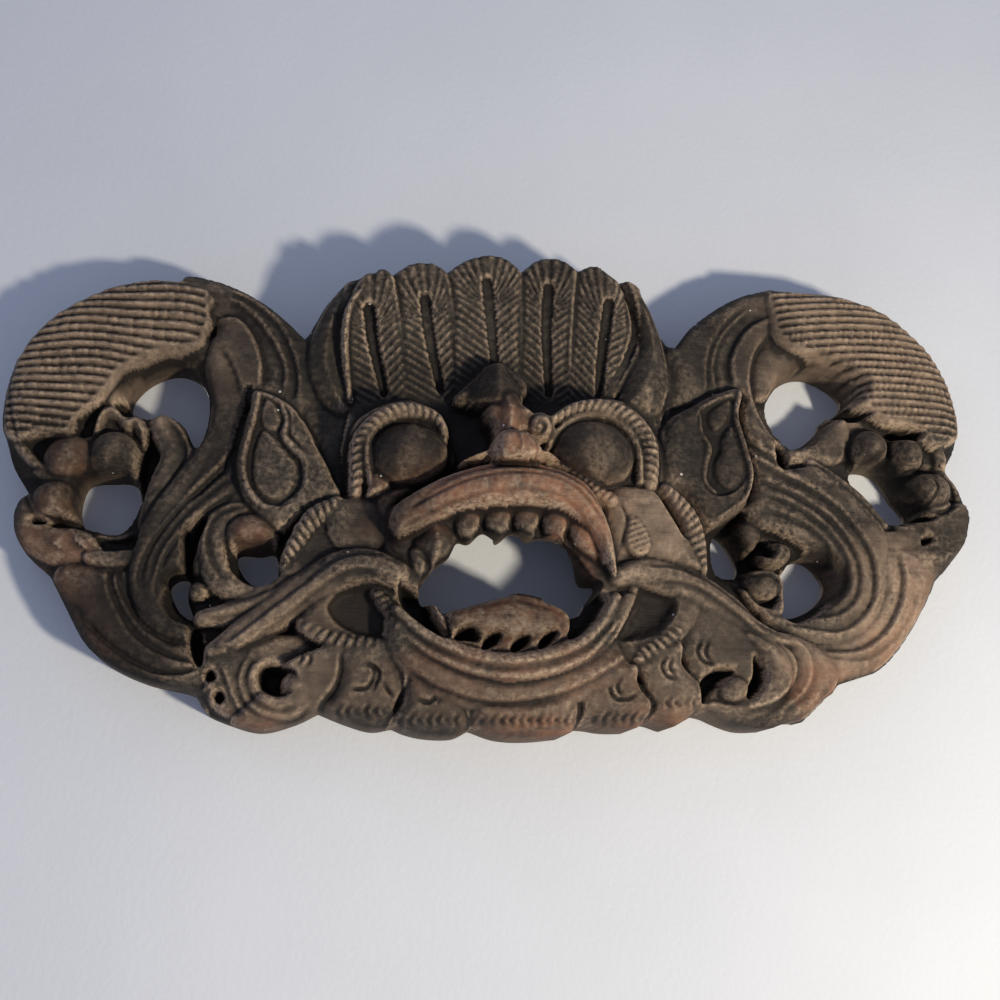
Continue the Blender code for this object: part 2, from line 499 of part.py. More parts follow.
def lower_lip(r):
    """Ridged bowl under the mouth, which falls away to the lobes of the chin."""
    bowl = [(392, 600), (420, 620), (455, 640), (512, 650), (578, 636), (606, 610), (622, 588), (652, 600), (668, 640),
            (630, 678), (580, 702), (512, 712), (450, 704), (408, 676), (384, 640)]
    r.fill(bowl, 57, 10, 18)
    r.stroke(run([(397, 608), (425, 632), (455, 648), (485, 657), (512, 660), (545, 656), (578, 643), (602, 624),
                  (618, 596)], [5, 7, 8, 8, 8, 7, 5], [58, 62, 64, 62, 58]), domed, 5)
    r.stroke(run([(400, 625), (430, 647), (460, 660), (490, 668), (514, 671), (550, 666), (586, 652), (612, 630),
                  (630, 598)], [6, 8, 9, 9, 9, 8, 6], [56, 60, 62, 60, 56]), domed, 3)
    for places, depth in (([(402, 634), (430, 654), (470, 671), (510, 678), (552, 673), (592, 655), (624, 618)], 2.6),
                          ([(402, 620), (430, 640), (470, 658), (510, 664), (550, 659), (586, 645), (612, 618)], 2.0),
                          ([(408, 664), (440, 684), (480, 697), (520, 699), (566, 690), (604, 672), (636, 650)], 2.4)):
        r.cut(places, depth, 4.0, 60, low=1)


def chin(r):
    """Row of broad lobes below the lip, each with a comma mark and a nicked foot."""
    lobes = {
        "one": [(250, 740), (270, 690), (305, 655), (342, 652), (341, 672), (334, 688), (320, 704), (322, 730)],
        "two": [(318, 735), (322, 704), (336, 686), (342, 650), (380, 640), (406, 662), (407, 684), (390, 720), (392, 745)],
        "three": [(391, 745), (391, 720), (404, 698), (406, 662), (440, 680), (462, 696), (470, 720), (467, 750)],
        "four": [(467, 750), (470, 720), (463, 698), (490, 696), (540, 696), (574, 688), (580, 716), (574, 750)],
        "five": [(574, 745), (580, 716), (574, 690), (600, 676), (635, 664), (642, 686), (655, 706), (643, 745)],
        "six": [(642, 745), (655, 706), (643, 684), (638, 660), (680, 642), (686, 664), (708, 692), (694, 735)],
        "seven": [(693, 735), (706, 698), (688, 672), (680, 644), (700, 618), (742, 626), (762, 650), (760, 684),
                  (740, 704), (712, 735)],
    }
    r.fill([(250, 745), (262, 690), (300, 655), (390, 640), (600, 680), (690, 640), (720, 660), (700, 745)], 42, 5, 7,
           lean=(0, 0.22))
    heights = {"one": 40, "two": 46, "three": 50, "four": 52, "five": 50, "six": 46, "seven": 41}
    for name in sorted(lobes):
        r.fill(lobes[name], heights[name], 5.5, 8, lean=(0, 0.20))
    for edge in ([(341, 655), (340, 672), (334, 688), (320, 706), (319, 722)],
                 [(406, 660), (407, 682), (397, 706), (391, 730)],
                 [(462, 698), (469, 714), (468, 735)], [(574, 692), (580, 712), (575, 732)],
                 [(636, 668), (643, 688), (654, 706), (644, 726)], [(681, 648), (688, 670), (708, 694), (694, 720)]):
        r.line(edge, 1.0, 2.5, 42)
        r.cut(edge, 2.5, 5.0, 42, low=1 if edge[0][0] > 500 else -1)
def cheeks(r):
    """Lumps and roped edges that close the face at both sides of the mouth."""
    r.fill([(300, 540), (320, 505), (352, 492), (400, 484), (420, 490), (398, 505), (392, 535), (402, 575), (380, 585),
            (340, 570), (296, 580), (280, 570)], 44, 6, 6)
    r.fill([(330, 502), (352, 496), (376, 498), (392, 512), (394, 534), (376, 548), (340, 547), (327, 530)], 49, 4, 9)
    r.fill([(385, 488), (415, 486), (400, 500), (392, 520), (394, 545), (404, 575), (390, 580), (384, 545), (386, 530),
            (376, 505)], 52, 6, 6)
    r.stroke(run([(338, 500), (320, 510), (307, 522), (298, 536), (290, 550), (284, 562)],
                 [7, 10, 10, 9, 6], [50, 52, 50, 46]), domed, 8)
    r.fill([(610, 486), (655, 488), (672, 508), (684, 527), (704, 566), (665, 562), (632, 560), (614, 562), (606, 520)],
           54, 6, 12)
    r.fill([(632, 513), (644, 522), (652, 538), (650, 551), (637, 555), (627, 544), (626, 528)], 57, 4, 3)
    r.line([(622, 503), (628, 520), (622, 545)], 0.8, 1.8, 55)
    r.stroke(run([(668, 486), (682, 500), (694, 518), (700, 540), (702, 566)], [6, 9, 10, 11, 10], [52, 54, 53, 50]),
             domed, 8)
    r.fill([(300, 628), (316, 590), (345, 576), (400, 578), (420, 600), (420, 640), (380, 652), (340, 648)], 46, 6, 8)
    r.pit([(338, 591), (326, 606), (336, 624), (360, 636), (386, 636), (392, 620), (376, 592), (352, 586)], 40, 4, 46)
    r.stroke(run([(376, 590), (388, 606), (400, 624), (410, 642)], [6, 8, 6], [50, 54, 56]), domed, 6)
    r.stroke(run([(304, 622), (325, 634), (350, 642), (380, 646)], [8, 9, 8], [46, 49, 50]), domed, 7)
    r.fill([(612, 590), (640, 574), (690, 590), (704, 612), (672, 650), (630, 664), (596, 652), (612, 620)], 49, 6, 8)
    r.pit([(636, 592), (652, 583), (667, 587), (678, 600), (676, 616), (660, 634), (636, 642), (618, 640), (630, 615)],
          43, 4, 48)
    r.stroke(run([(636, 586), (628, 604), (618, 622), (606, 644)], [5, 7, 5], [54, 56, 56]), domed, 5)
    r.stroke(run([(688, 604), (680, 624), (664, 641), (642, 654)], [8, 9, 8], [48, 50, 51]), domed, 7)


def left_whisker(r):
    """Whisker that leaves the mouth corner and runs out over the wing to a curl."""
    r.stroke(run([(325, 562), (300, 574), (278, 586), (256, 600), (232, 610), (200, 616)],
                 [6, 10, 12, 13, 12, 8], [43, 43, 41, 38]), domed, 9)
    r.cut([(300, 578), (270, 592), (240, 602), (206, 606)], 2.2, 3.5, 40, low=1)
    r.cut([(296, 586), (264, 602), (236, 612), (204, 616)], 2.2, 3.5, 40, low=-1)
    r.stroke(run([(398, 570), (370, 562), (340, 567), (310, 584), (285, 600), (260, 618), (236, 635), (212, 650)],
                 [14, 17, 19, 19, 18, 16, 14, 10], [60, 59, 55, 51, 48, 46, 44, 40]), domed, 13)
    r.cut([(384, 562), (360, 558), (335, 564), (306, 584), (280, 602), (250, 624), (222, 644)], 2.4, 4.0, 50, low=1)
    r.cut([(378, 574), (350, 572), (322, 586), (292, 608), (262, 630), (232, 650)], 2.4, 4.0, 47, low=-1)


def left_curl(r):
    """Lower curl with its ball, ring knobs and hollow."""
    r.fill([(202, 652), (250, 636), (300, 634), (324, 660), (322, 700), (300, 724), (262, 732), (232, 720), (210, 706),
            (202, 690)], 37, 7, 8)
    r.pit([(254, 675), (257, 667), (272, 664), (296, 671), (288, 690), (279, 699), (264, 692)], 15, 3, 36)
    for places, low in (([(250, 652), (242, 664), (238, 680), (246, 702), (262, 714), (290, 718), (312, 704)], 1),
                        ([(262, 655), (250, 668), (248, 684), (258, 700), (278, 709), (298, 704)], 1),
                        ([(218, 662), (226, 680), (234, 702), (250, 718)], 1)):
        r.cut(places, 2.6, 3.5, 38, low=low)
    r.ball(300, 684, 17, 43, 14, drop=11)
    r.ball(283, 656, 19, 44, 14, turn=-20, drop=9)
    r.line([(294, 664), (304, 657), (313, 648)], 0.8, 1.8, 42)
    r.line([(288, 668), (298, 664), (306, 658)], 0.8, 1.4, 42)
    r.pit([(206, 670), (212, 669), (216, 677), (210, 684), (204, 678)], 22, 2, 36)
    r.pit([(215, 691), (221, 690), (225, 698), (219, 704), (213, 698)], 22, 2, 36)
    r.stroke(run([(204, 690), (211, 685), (220, 686)], [3, 5, 3], [36, 38, 36]), domed, 4)
    r.pit([(190, 632), (200, 630), (204, 650), (200, 668), (191, 655)], 14, 2, 30)


def left_scroll(r):
    """Open scroll round a ball beside the ear leaf."""
    r.fill([(262, 505), (236, 498), (212, 508), (198, 530), (196, 556), (206, 584), (230, 600), (262, 596), (268, 586),
            (244, 580), (230, 566), (226, 545), (232, 524), (250, 516)], 38, 7, 6)
    r.cut([(250, 505), (228, 507), (210, 520), (205, 540), (210, 562), (226, 584)], 2.0, 3.0, 38, low=-1)
    r.pit([(238, 512), (262, 514), (276, 530), (270, 552), (236, 553), (226, 540)], 26, 3, 40)
    r.ball(251, 533, 26, 44, 21, drop=15)
    r.ball(199, 563, 7, 34, 11, drop=6)
    r.ball(198, 591, 10, 35, 9, drop=7)
    r.pit([(200, 520), (190, 534), (190, 548), (197, 544), (203, 532), (208, 517)], 14, 2, 30)


def right_wing_shell(r):
    """Ridged shell of the right wing, with a plain band under it."""
    shell = [(768, 285), (800, 286), (845, 291), (890, 308), (928, 340), (950, 372), (962, 405), (964, 436),
             (940, 446), (927, 438), (908, 425), (886, 421), (865, 404), (852, 390), (843, 371), (815, 355),
             (795, 348), (779, 337), (772, 320)]
    band = [(772, 322), (779, 337), (796, 348), (828, 360), (850, 384), (856, 397), (848, 404), (833, 400),
            (818, 390), (800, 382), (782, 384), (768, 398), (756, 398), (748, 370), (756, 340)]
    r.fill(band, 33, 4, 6)
    r.fill(shell, 43, 9, 17)
def right_wing_side(r):
    """Worn balls and lumps down the right edge, with the lower strut block."""
    r.fill([(846, 417), (880, 420), (930, 440), (965, 440), (972, 520), (950, 575), (880, 560), (884, 510), (880, 486),
            (850, 470)], 28, 3, 4)
    r.fill([(905, 505), (940, 500), (975, 505), (978, 535), (950, 580), (905, 560), (896, 530)], 34, 5, 6)
    r.pit([(828, 398), (850, 408), (868, 417), (848, 420), (836, 412)], 16, 2, 30)
    r.fill([(846, 417), (822, 425), (808, 443), (790, 450), (790, 464), (815, 464), (842, 462), (852, 440)], 30, 4, 5)
    r.ball(870, 452, 23, 42, 26, drop=18)
    r.ball(907, 458, 22, 41, 28, drop=17)
    r.pit([(889, 432), (904, 429), (919, 434), (917, 441), (900, 440)], 16, 2, 32)
    r.stroke(run([(930, 442), (940, 450), (944, 464), (938, 478)], [6, 8, 6], [34, 35, 32]), domed, 8)
    r.ball(931, 491, 28, 41, 22, turn=-8, drop=16)
    r.ball(925, 534, 14, 33, 11, drop=9)
    r.stroke(run([(905, 505), (925, 512), (946, 520), (958, 534)], [4, 6, 6, 5], [30, 33, 32]), domed, 7)
    r.pit([(905, 514), (922, 515), (936, 519), (920, 522), (906, 520)], 14, 2, 30)
    r.pit([(888, 541), (908, 542), (930, 536), (932, 542), (912, 549), (890, 547)], 22, 2, 32)
    r.pit([(883, 491), (893, 497), (905, 523), (896, 524), (887, 508)], 14, 2, 30)
    r.stroke(run([(878, 541), (895, 541), (913, 540)], 12, 34), flat, 7)
    r.stroke(run([(812, 462), (838, 480), (862, 500), (884, 524)], [7, 9, 8], [33, 34, 32]), domed, 7)
    r.line([(814, 466), (840, 486), (862, 506), (880, 526)], 0.8, 2.0, 32)


def right_wing_body(r):
    """Body of the lower scroll, worn to a smooth face."""
    body = [(880, 545), (965, 545), (945, 580), (920, 626), (902, 652), (874, 676), (835, 690), (790, 700), (776, 670),
            (778, 636), (830, 636), (862, 620), (880, 592)]
    r.fill(body, 37, 10, 15)
    for places, depth in (([(898, 550), (905, 576), (901, 604), (886, 632), (860, 650), (820, 652)], 3.0),
                          ([(922, 588), (912, 618), (894, 642), (866, 660), (820, 658)], 1.4)):
        r.cut(places, depth, 4.0, 36, low=1)


def right_strands(r):
    """Strands that leave the right ear and coil round the lower curl."""
    sheet = [(770, 288), (778, 320), (762, 345), (754, 372), (758, 398), (769, 424), (782, 442), (794, 464), (818, 464),
             (843, 482), (868, 505), (888, 530), (892, 560), (889, 592), (880, 618), (860, 638), (832, 644),
             (800, 640), (770, 624), (762, 606), (780, 612), (800, 620), (818, 614), (832, 600), (834, 584),
             (826, 564), (806, 546), (780, 532), (757, 524), (742, 510), (752, 496), (757, 474), (750, 446),
             (742, 418), (744, 392), (720, 392), (694, 404), (662, 404), (662, 360), (684, 328), (712, 308), (744, 290)]
    r.fill(sheet, 37, 5, 8)
    for places, depth, reach, low in (
            ([(744, 306), (726, 322), (712, 342), (706, 364), (706, 396)], 2.0, 3.0, -1),
            ([(752, 310), (734, 324), (720, 342), (713, 366), (716, 392)], 2.0, 3.0, -1),
            ([(770, 318), (752, 326), (738, 342), (730, 364), (734, 390)], 3.4, 6.0, 1),
            ([(768, 336), (756, 350), (750, 372), (752, 396), (762, 420), (780, 444)], 2.0, 4.0, -1),
            ([(744, 392), (742, 410), (746, 432), (758, 448), (780, 460), (806, 470)], 3.0, 4.0, 1),
            ([(752, 456), (772, 468), (806, 486), (832, 503), (854, 526), (872, 556), (876, 590), (864, 616), (838, 632),
              (790, 626)], 2.6, 4.0, 1),
            ([(757, 478), (790, 492), (820, 510), (844, 534), (860, 566), (858, 596), (840, 614), (808, 620)], 2.2, 3.5, 1),
            ([(762, 492), (796, 506), (826, 528), (846, 556), (850, 584), (838, 604)], 2.0, 3.0, 1),
            ([(764, 508), (792, 518), (818, 534), (836, 558), (840, 584)], 2.0, 3.0, 1)):
        r.cut(places, depth, reach, 35, low=low)
    r.pit([(777, 440), (786, 448), (790, 468), (780, 470), (774, 456)], 14, 2, 30)
    r.pit([(713, 512), (741, 514), (739, 536), (724, 534)], 13, 2, 28)
    r.pit([(722, 538), (748, 536), (776, 550), (782, 578), (760, 592), (736, 576)], 11, 2, 24)
    r.ball(749, 530, 15, 32, 27, turn=20, drop=11)
    r.ball(776, 555, 18, 35, 13, turn=-20, drop=11)
    r.pit([(760, 545), (768, 541), (776, 549), (772, 558), (762, 554)], 16, 2, 30)


def right_ear(r):
    """Broad leaf beside the right eye, the left one's fellow but worn."""
    leaf = [(746, 386), (720, 389), (695, 402), (670, 417), (661, 442), (661, 482), (685, 494), (704, 520), (713, 528),
            (738, 513), (750, 502), (757, 474), (750, 446), (742, 418)]
    r.fill(leaf, 45, 9, 8)
    r.pit([(734, 396), (712, 402), (698, 414), (700, 436), (706, 452), (700, 474), (712, 494), (732, 494), (748, 476),
           (744, 446), (736, 418)], 41, 2.5, 45)
    r.fill([(731, 398), (720, 402), (710, 412), (709, 424), (716, 432), (727, 424), (733, 410)], 44, 4, 4)
    r.fill([(733, 424), (722, 438), (721, 450), (715, 464), (718, 480), (732, 490), (744, 482), (748, 466), (741, 446)],
           45, 5, 5)
    r.stroke(run([(700, 414), (702, 432), (710, 446), (706, 462), (705, 480), (716, 492)], [3, 4, 5, 5, 3], [44, 47, 46, 44]),
             domed, 6)
    r.stroke(run([(741, 392), (738, 414), (746, 444), (753, 472), (746, 496), (718, 518)], 4, [46, 47, 45]), domed, 6)


def right_whisker(r):
    """Whisker from the right mouth corner to the lower right curl."""
    r.stroke(run([(620, 574), (650, 570), (680, 578), (708, 592), (734, 610), (756, 628), (780, 640), (815, 646)],
                 [12, 16, 18, 19, 18, 15, 11, 6], [59, 58, 55, 51, 48, 45, 41, 36]), domed, 13)
    r.cut([(640, 570), (670, 570), (695, 577), (720, 589), (757, 614), (800, 631)], 2.6, 4.0, 50, low=-1)
    r.cut([(650, 582), (680, 584), (704, 592), (737, 613), (770, 636), (810, 644)], 2.6, 4.0, 47, low=1)
    r.ball(764, 586, 19, 36, 14, drop=9)
    r.stroke(run([(752, 572), (768, 571), (782, 580), (787, 598), (777, 612), (758, 606), (744, 590)],
                 [3, 5, 6, 5, 3], [34, 36, 34]), domed, 6)


def right_curl(r):
    """Lower right curl with a hollow and a ball at its tip."""
    r.fill([(745, 640), (770, 630), (804, 636), (838, 660), (842, 688), (820, 712), (796, 730), (760, 740), (718, 730),
            (700, 722), (700, 702), (740, 700), (760, 684), (762, 656)], 41, 7, 8, lean=(-0.05, 0.05))
    r.pit([(702, 692), (705, 677), (720, 668), (736, 671), (728, 680), (716, 690), (706, 702)], 26, 2.5, 42)
    r.stroke(run([(752, 634), (772, 648), (782, 668), (776, 688), (760, 704), (738, 712), (716, 706)],
                 [8, 12, 14, 13, 10, 6], [46, 46, 45, 42]), domed, 6)
    r.cut([(775, 640), (790, 652), (796, 670), (788, 690), (768, 704), (738, 712)], 3.0, 4.0, 38, low=-1)
    r.cut([(790, 636), (806, 652), (810, 674), (802, 694), (780, 712)], 2.0, 3.5, 36, low=-1)
    r.pit([(756, 654), (765, 665), (768, 680), (761, 692), (750, 699), (751, 688), (757, 674)], 24, 2.5, 44)
    r.ball(735, 689, 15, 47, 13, drop=10)


def carve(px, pz):
    """Whole relief, from the ground up."""
    r = Relief(px, pz)
    for part in (wings_ground, left_wing_body, left_wing_shell, left_wing_side, left_leaf, left_strands,
                 right_wing_body, right_wing_shell, right_wing_side, right_strands, left_scroll, left_ear,
                 right_ear, crest, crest_rims, brow_field, chin, cheeks, left_curl, right_curl, left_whisker,
                 right_whisker, lower_lip, teeth, upper_lip, eyes, forehead, nose):
        part(r)
    r.hollow_back([(404, 572), (408, 540), (430, 516), (470, 500), (520, 494), (570, 500), (602, 530), (616, 570),
                   (600, 592), (560, 560), (500, 550), (440, 580)], MOUTH_HOLLOW)
    r.back = np.clip(np.minimum(r.back, r.h - THINNEST_WALL), 0, None)
    return r


OUTLINE = {
    "right wing": [(672, 352), (695, 325), (735, 300), (780, 291), (830, 293), (875, 306), (915, 333), (943, 367),
                   (957, 405), (959, 442), (948, 468)],
    "right lumps": [(948, 468), (962, 487), (969, 512), (966, 540), (950, 564), (936, 581)],
    "right foot": [(936, 581), (927, 606), (911, 637), (886, 667), (850, 681), (834, 686)],
    "right curl": [(834, 686), (827, 699), (816, 713), (802, 723), (784, 723)],
    "lobe seven": [(784, 723), (762, 731), (735, 733), (712, 726), (692, 715)],
    "lobe six": [(692, 715), (676, 725), (658, 731), (642, 724)],
    "lobe five": [(642, 724), (622, 733), (597, 734), (574, 729)],
    "lobe four": [(574, 729), (556, 739), (522, 743), (492, 741), (467, 732)],
    "lobe three": [(467, 732), (450, 740), (425, 740), (405, 736), (391, 730)],
    "lobe two": [(391, 730), (370, 733), (345, 726), (318, 715)],
    "left curl": [(318, 715), (295, 726), (262, 734), (230, 726), (208, 715), (196, 696)],
    "left foot": [(196, 696), (150, 686), (112, 668), (84, 642), (66, 608), (50, 576)],
    "left lumps": [(50, 576), (28, 556), (14, 532), (14, 507), (26, 490)],
    "left wing": [(26, 490), (10, 460), (4, 420), (14, 370), (36, 332), (68, 304), (110, 286), (165, 278), (212, 281),
                  (255, 300), (285, 322), (305, 341)],
    "left rim": [(305, 341), (318, 319), (331, 296), (348, 279), (366, 272), (374, 274)],
    "feather one": [(374, 274), (383, 269), (392, 275)],
    "feather two": [(392, 275), (412, 265), (432, 265), (447, 273)],
    "feather three": [(447, 273), (470, 261), (497, 259), (520, 272)],
    "feather four": [(520, 272), (540, 261), (560, 262), (576, 271)],
    "feather five": [(576, 271), (596, 267), (616, 281)],
    "right rim": [(616, 281), (632, 281), (647, 304), (660, 335), (672, 352)],
}
OPENINGS = {
    "left upper": [(131, 412), (150, 389), (180, 378), (205, 389), (210, 412), (196, 447), (184, 427), (164, 413),
                   (148, 417)],
    "left lower": [(90, 490), (118, 485), (138, 487), (139, 506), (122, 531), (98, 531), (82, 524)],
    "left slit": [(171, 591), (183, 580), (191, 582), (188, 600), (193, 619), (180, 613)],
    "left gap": [(238, 558), (262, 558), (276, 557), (278, 579), (262, 587), (244, 577)],
    "mouth": [(418, 582), (432, 568), (449, 556), (458, 540), (470, 541), (484, 530), (499, 537), (514, 531), (529, 536),
              (545, 536), (561, 540), (578, 554), (592, 573), (605, 583), (594, 604), (575, 611), (556, 601), (515, 592),
              (485, 598), (454, 606), (430, 600)],
    "right upper": [(768, 402), (778, 386), (800, 382), (822, 391), (839, 406), (836, 416), (822, 423), (812, 438), (795, 448),
                    (774, 427)],
    "right middle": [(848, 473), (872, 481), (888, 504), (905, 525), (884, 522), (864, 497)],
    "right lower": [(784, 572), (795, 562), (812, 574), (821, 592), (808, 612), (784, 615)],
    "right slit": [(713, 535), (724, 549), (737, 578), (717, 572)],
}


def carried(points, rim, hole):
    """Plan ring of a layout outline: its wall shows where it faces the eye, so it's drawn there at the back."""
    p = np.array(points, float)
    back = sight_axes()[0] * SIGHT_DISTANCE
    ox, oz = spot(p[:, 0], p[:, 1], 0)
    tx, tz = np.roll(ox, -1) - np.roll(ox, 1), np.roll(oz, -1) - np.roll(oz, 1)
    turning = np.sum(ox * np.roll(oz, -1) - oz * np.roll(ox, -1))
    way = math.copysign(1.0, turning) * (-1 if hole else 1)
    size = np.hypot(tx, tz) + 1e-9
    facing = (way * tz / size * (back[0] - ox) - way * tx / size * (back[2] - oz)) / SIGHT_DISTANCE
    share = np.clip(0.5 - facing / FACING_BLEND, 0, 1)
    for _ in range(FACING_PASSES):
        share = (np.roll(share, 1) + share + np.roll(share, -1)) / 3
    return np.column_stack(spot(p[:, 0], p[:, 1], rim * share))


def resampled(ring, step):
    """Ring with even steps between its places."""
    loop = np.vstack([ring, ring[:1]])
    far = np.concatenate([[0], np.cumsum(np.hypot(*np.diff(loop, axis=0).T))])
    count = max(8, int(round(far[-1] / step)))
    at = np.linspace(0, far[-1], count, endpoint=False)
    return np.column_stack([np.interp(at, far, loop[:, 0]), np.interp(at, far, loop[:, 1])])


def panel_rings(step):
    """Outer ring and one ring for each opening, in layout units."""
    outer = np.vstack([curve(OUTLINE[name])[:-1] for name in OUTLINE])
    x, y = outer.T
    crest = np.clip((350 - y) / 40, 0, 1) * np.clip((x - 315) / 40, 0, 1) * np.clip((648 - x) / 40, 0, 1)
    rings = [resampled(carried(outer, RIM_HEIGHT + (CREST_RIM - RIM_HEIGHT) * crest, False), step)]
    for name in sorted(OPENINGS):
        loop = curve(OPENINGS[name], closed=True)
        if name == "mouth":
            ring = np.column_stack(spot(loop[:, 0], loop[:, 1], MOUTH_EDGE))
        else:
            ring = carried(loop, OPENING_EDGE, True)
        rings.append(resampled(ring, step))
    return rings


def worn_edges(places, height, rings):
    """Heights brought down round the outline and, more, round the openings; the lips of the mouth stay."""
    out = height.copy()
    names = [None] + sorted(OPENINGS)
    for name, ring in zip(names, rings):
        if name == "mouth":
            continue
        reach, share = OPENING_ROUND, OPENING_FALL
        if name is None:
            reach, share = OUTLINE_ROUND, OUTLINE_FALL
        elif name in NARROW_OPENINGS:
            reach = NARROW_ROUND
        tree = KDTree(len(ring))
        for i, (x, z) in enumerate(ring):
            tree.insert((x, z, 0), i)
        tree.balance()
        beside = (places[:, 0] > ring[:, 0].min() - reach) & (places[:, 0] < ring[:, 0].max() + reach)
        beside &= (places[:, 1] > ring[:, 1].min() - reach) & (places[:, 1] < ring[:, 1].max() + reach)
        for i in np.nonzero(beside)[0]:
            gap = tree.find((places[i, 0], places[i, 1], 0))[2]
            if gap < reach:
                fall = 1 - math.sqrt(1 - (1 - gap / reach) ** 2)
                out[i] = min(out[i], height[i] * (1 - (1 - share) * fall))
    return out


def plan_triangles(rings, step):
    """Even triangles over the plan, whose edges keep to the rings."""
    outer = rings[0]
    xs = np.arange(outer[:, 0].min(), outer[:, 0].max(), step)
    zs = np.arange(outer[:, 1].min(), outer[:, 1].max(), step * math.sqrt(3) / 2)
    gx, gz = np.meshgrid(xs, zs)
    gx = gx + (np.arange(len(zs)) % 2)[:, None] * step / 2
    gx, gz = gx.ravel(), gz.ravel()
    keep = within(gx, gz, outer[:, 0], outer[:, 1])
    for ring in rings[1:]:
        keep &= ~within(gx, gz, ring[:, 0], ring[:, 1])
    gx, gz = gx[keep], gz[keep]
    edge = np.vstack(rings)
    tree = KDTree(len(edge))
    for i, (x, z) in enumerate(edge):
        tree.insert((x, z, 0), i)
    tree.balance()
    clear = np.array([tree.find((x, z, 0))[2] > 0.62 * step for x, z in zip(gx, gz)])
    points = [Vector(p) for p in edge] + [Vector(p) for p in zip(gx[clear], gz[clear])]
    bounds, start = [], 0
    for ring in rings:
        ids = list(range(start, start + len(ring)))
        bounds.append(ids)
        start += len(ring)
    links = [(ids[i], ids[(i + 1) % len(ids)]) for ids in bounds for i in range(len(ids))]
    places, _, faces, *_ = delaunay_2d_cdt(points, links, [], 0, 1e-7)
    places = np.array([tuple(p) for p in places])
    faces = np.array(faces)
    middle = places[faces].mean(axis=1)
    held = within(middle[:, 0], middle[:, 1], outer[:, 0], outer[:, 1])
    for ring in rings[1:]:
        held &= ~within(middle[:, 0], middle[:, 1], ring[:, 0], ring[:, 1])
    faces = faces[held]
    a, b, c = places[faces[:, 0]], places[faces[:, 1]], places[faces[:, 2]]
    area = (b[:, 0] - a[:, 0]) * (c[:, 1] - a[:, 1]) - (b[:, 1] - a[:, 1]) * (c[:, 0] - a[:, 0])
    faces[area < 0] = faces[area < 0][:, ::-1]
    return places, faces


def boundary_links(faces):
    """Edges that belong to one triangle only, in that triangle's turning."""
    links = np.vstack([faces[:, [0, 1]], faces[:, [1, 2]], faces[:, [2, 0]]])
    known = {(a, b) for a, b in links.tolist()}
    return [(a, b) for a, b in links.tolist() if (b, a) not in known]


def eased(places, height, faces, passes):
    """Draws the steep steps of the relief into clean walls: each of their points moves towards its neighbours."""
    links = np.unique(np.sort(np.vstack([faces[:, [0, 1]], faces[:, [1, 2]], faces[:, [2, 0]]]), axis=1), axis=0)
    rim = np.zeros(len(places), bool)
    rim[np.array(boundary_links(faces)).ravel()] = True
    a, b = links.T
    count = np.bincount(a, minlength=len(places)) + np.bincount(b, minlength=len(places))
    for _ in range(passes):
        rise = np.abs(height[a] - height[b])
        steep = np.zeros(len(places))
        np.maximum.at(steep, a, rise)
        np.maximum.at(steep, b, rise)
        share = np.clip((steep - EASE_FROM) / EASE_FROM, 0, 1) * 0.5
        moved = []
        for values in (places[:, 0], places[:, 1], height):
            mean = (np.bincount(a, values[b], len(places)) + np.bincount(b, values[a], len(places))) / count
            moved.append(values + share * (mean - values) * (1 if values is height else ~rim))
        places, height = np.column_stack(moved[:2]), moved[2]
    return places, height


def clear_scene():
    for ob in list(bpy.data.objects):
        bpy.data.objects.remove(ob, do_unlink=True)


def wood():
    material = bpy.data.materials.new("carved_wood")
    material.use_nodes = True
    shader = material.node_tree.nodes["Principled BSDF"]
    shader.inputs["Base Color"].default_value = WOOD_COLOUR
    shader.inputs["Roughness"].default_value = WOOD_ROUGHNESS
    shader.inputs["Metallic"].default_value = 0.0
    return material


def panel_mesh(name):
    """Closed mesh: carved front, back, and the walls of the outline and of the openings."""
    rings = panel_rings(PLAN_STEP)
    places, faces = plan_triangles(rings, PLAN_STEP)
    relief = carve(places[:, 0].copy(), places[:, 1].copy())
    worn = worn_edges(places, relief.h, rings)
    eased_places, height = eased(places, worn, faces, EASE_PASSES)
    unit = WIDTH / np.ptp(rings[0][:, 0])
    mount_x, mount_z = spot(*HANGING_POINT, 0)
    shift = np.array([mount_x, mount_z])
    front = (eased_places - shift) * unit
    back = (places - shift) * unit
    mesh = bmesh.new()
    front_verts = [mesh.verts.new((x, -h, z)) for (x, z), h in zip(front, height * LIFT)]
    back_verts = [mesh.verts.new((x, -h, z)) for (x, z), h in zip(back, relief.back * LIFT)]
    for a, b, c in faces.tolist():
        mesh.faces.new((front_verts[a], front_verts[b], front_verts[c]))
        mesh.faces.new((back_verts[c], back_verts[b], back_verts[a]))
    for a, b in boundary_links(faces):
        mesh.faces.new((front_verts[b], front_verts[a], back_verts[a], back_verts[b]))
    mesh.normal_update()
    data = bpy.data.meshes.new(name)
    mesh.to_mesh(data)
    mesh.free()
    return data


def thinned(panel):
    """The panel's mesh in fewer facets that keep its forms, with its back drawn level again."""
    facets = panel.modifiers.new("facets", "DECIMATE")
    facets.use_collapse_triangulate = True
    drawn = sum(len(face.vertices) - 2 for face in panel.data.polygons)
    facets.ratio = SOLID_TRIANGLES / drawn
    graph = bpy.context.evaluated_depsgraph_get()
    data = bpy.data.meshes.new_from_object(panel.evaluated_get(graph))
    panel.modifiers.remove(facets)
    for vertex in data.vertices:
        if vertex.co.y > -BACK_LEVELLING:
            vertex.co.y = 0.0
    return data


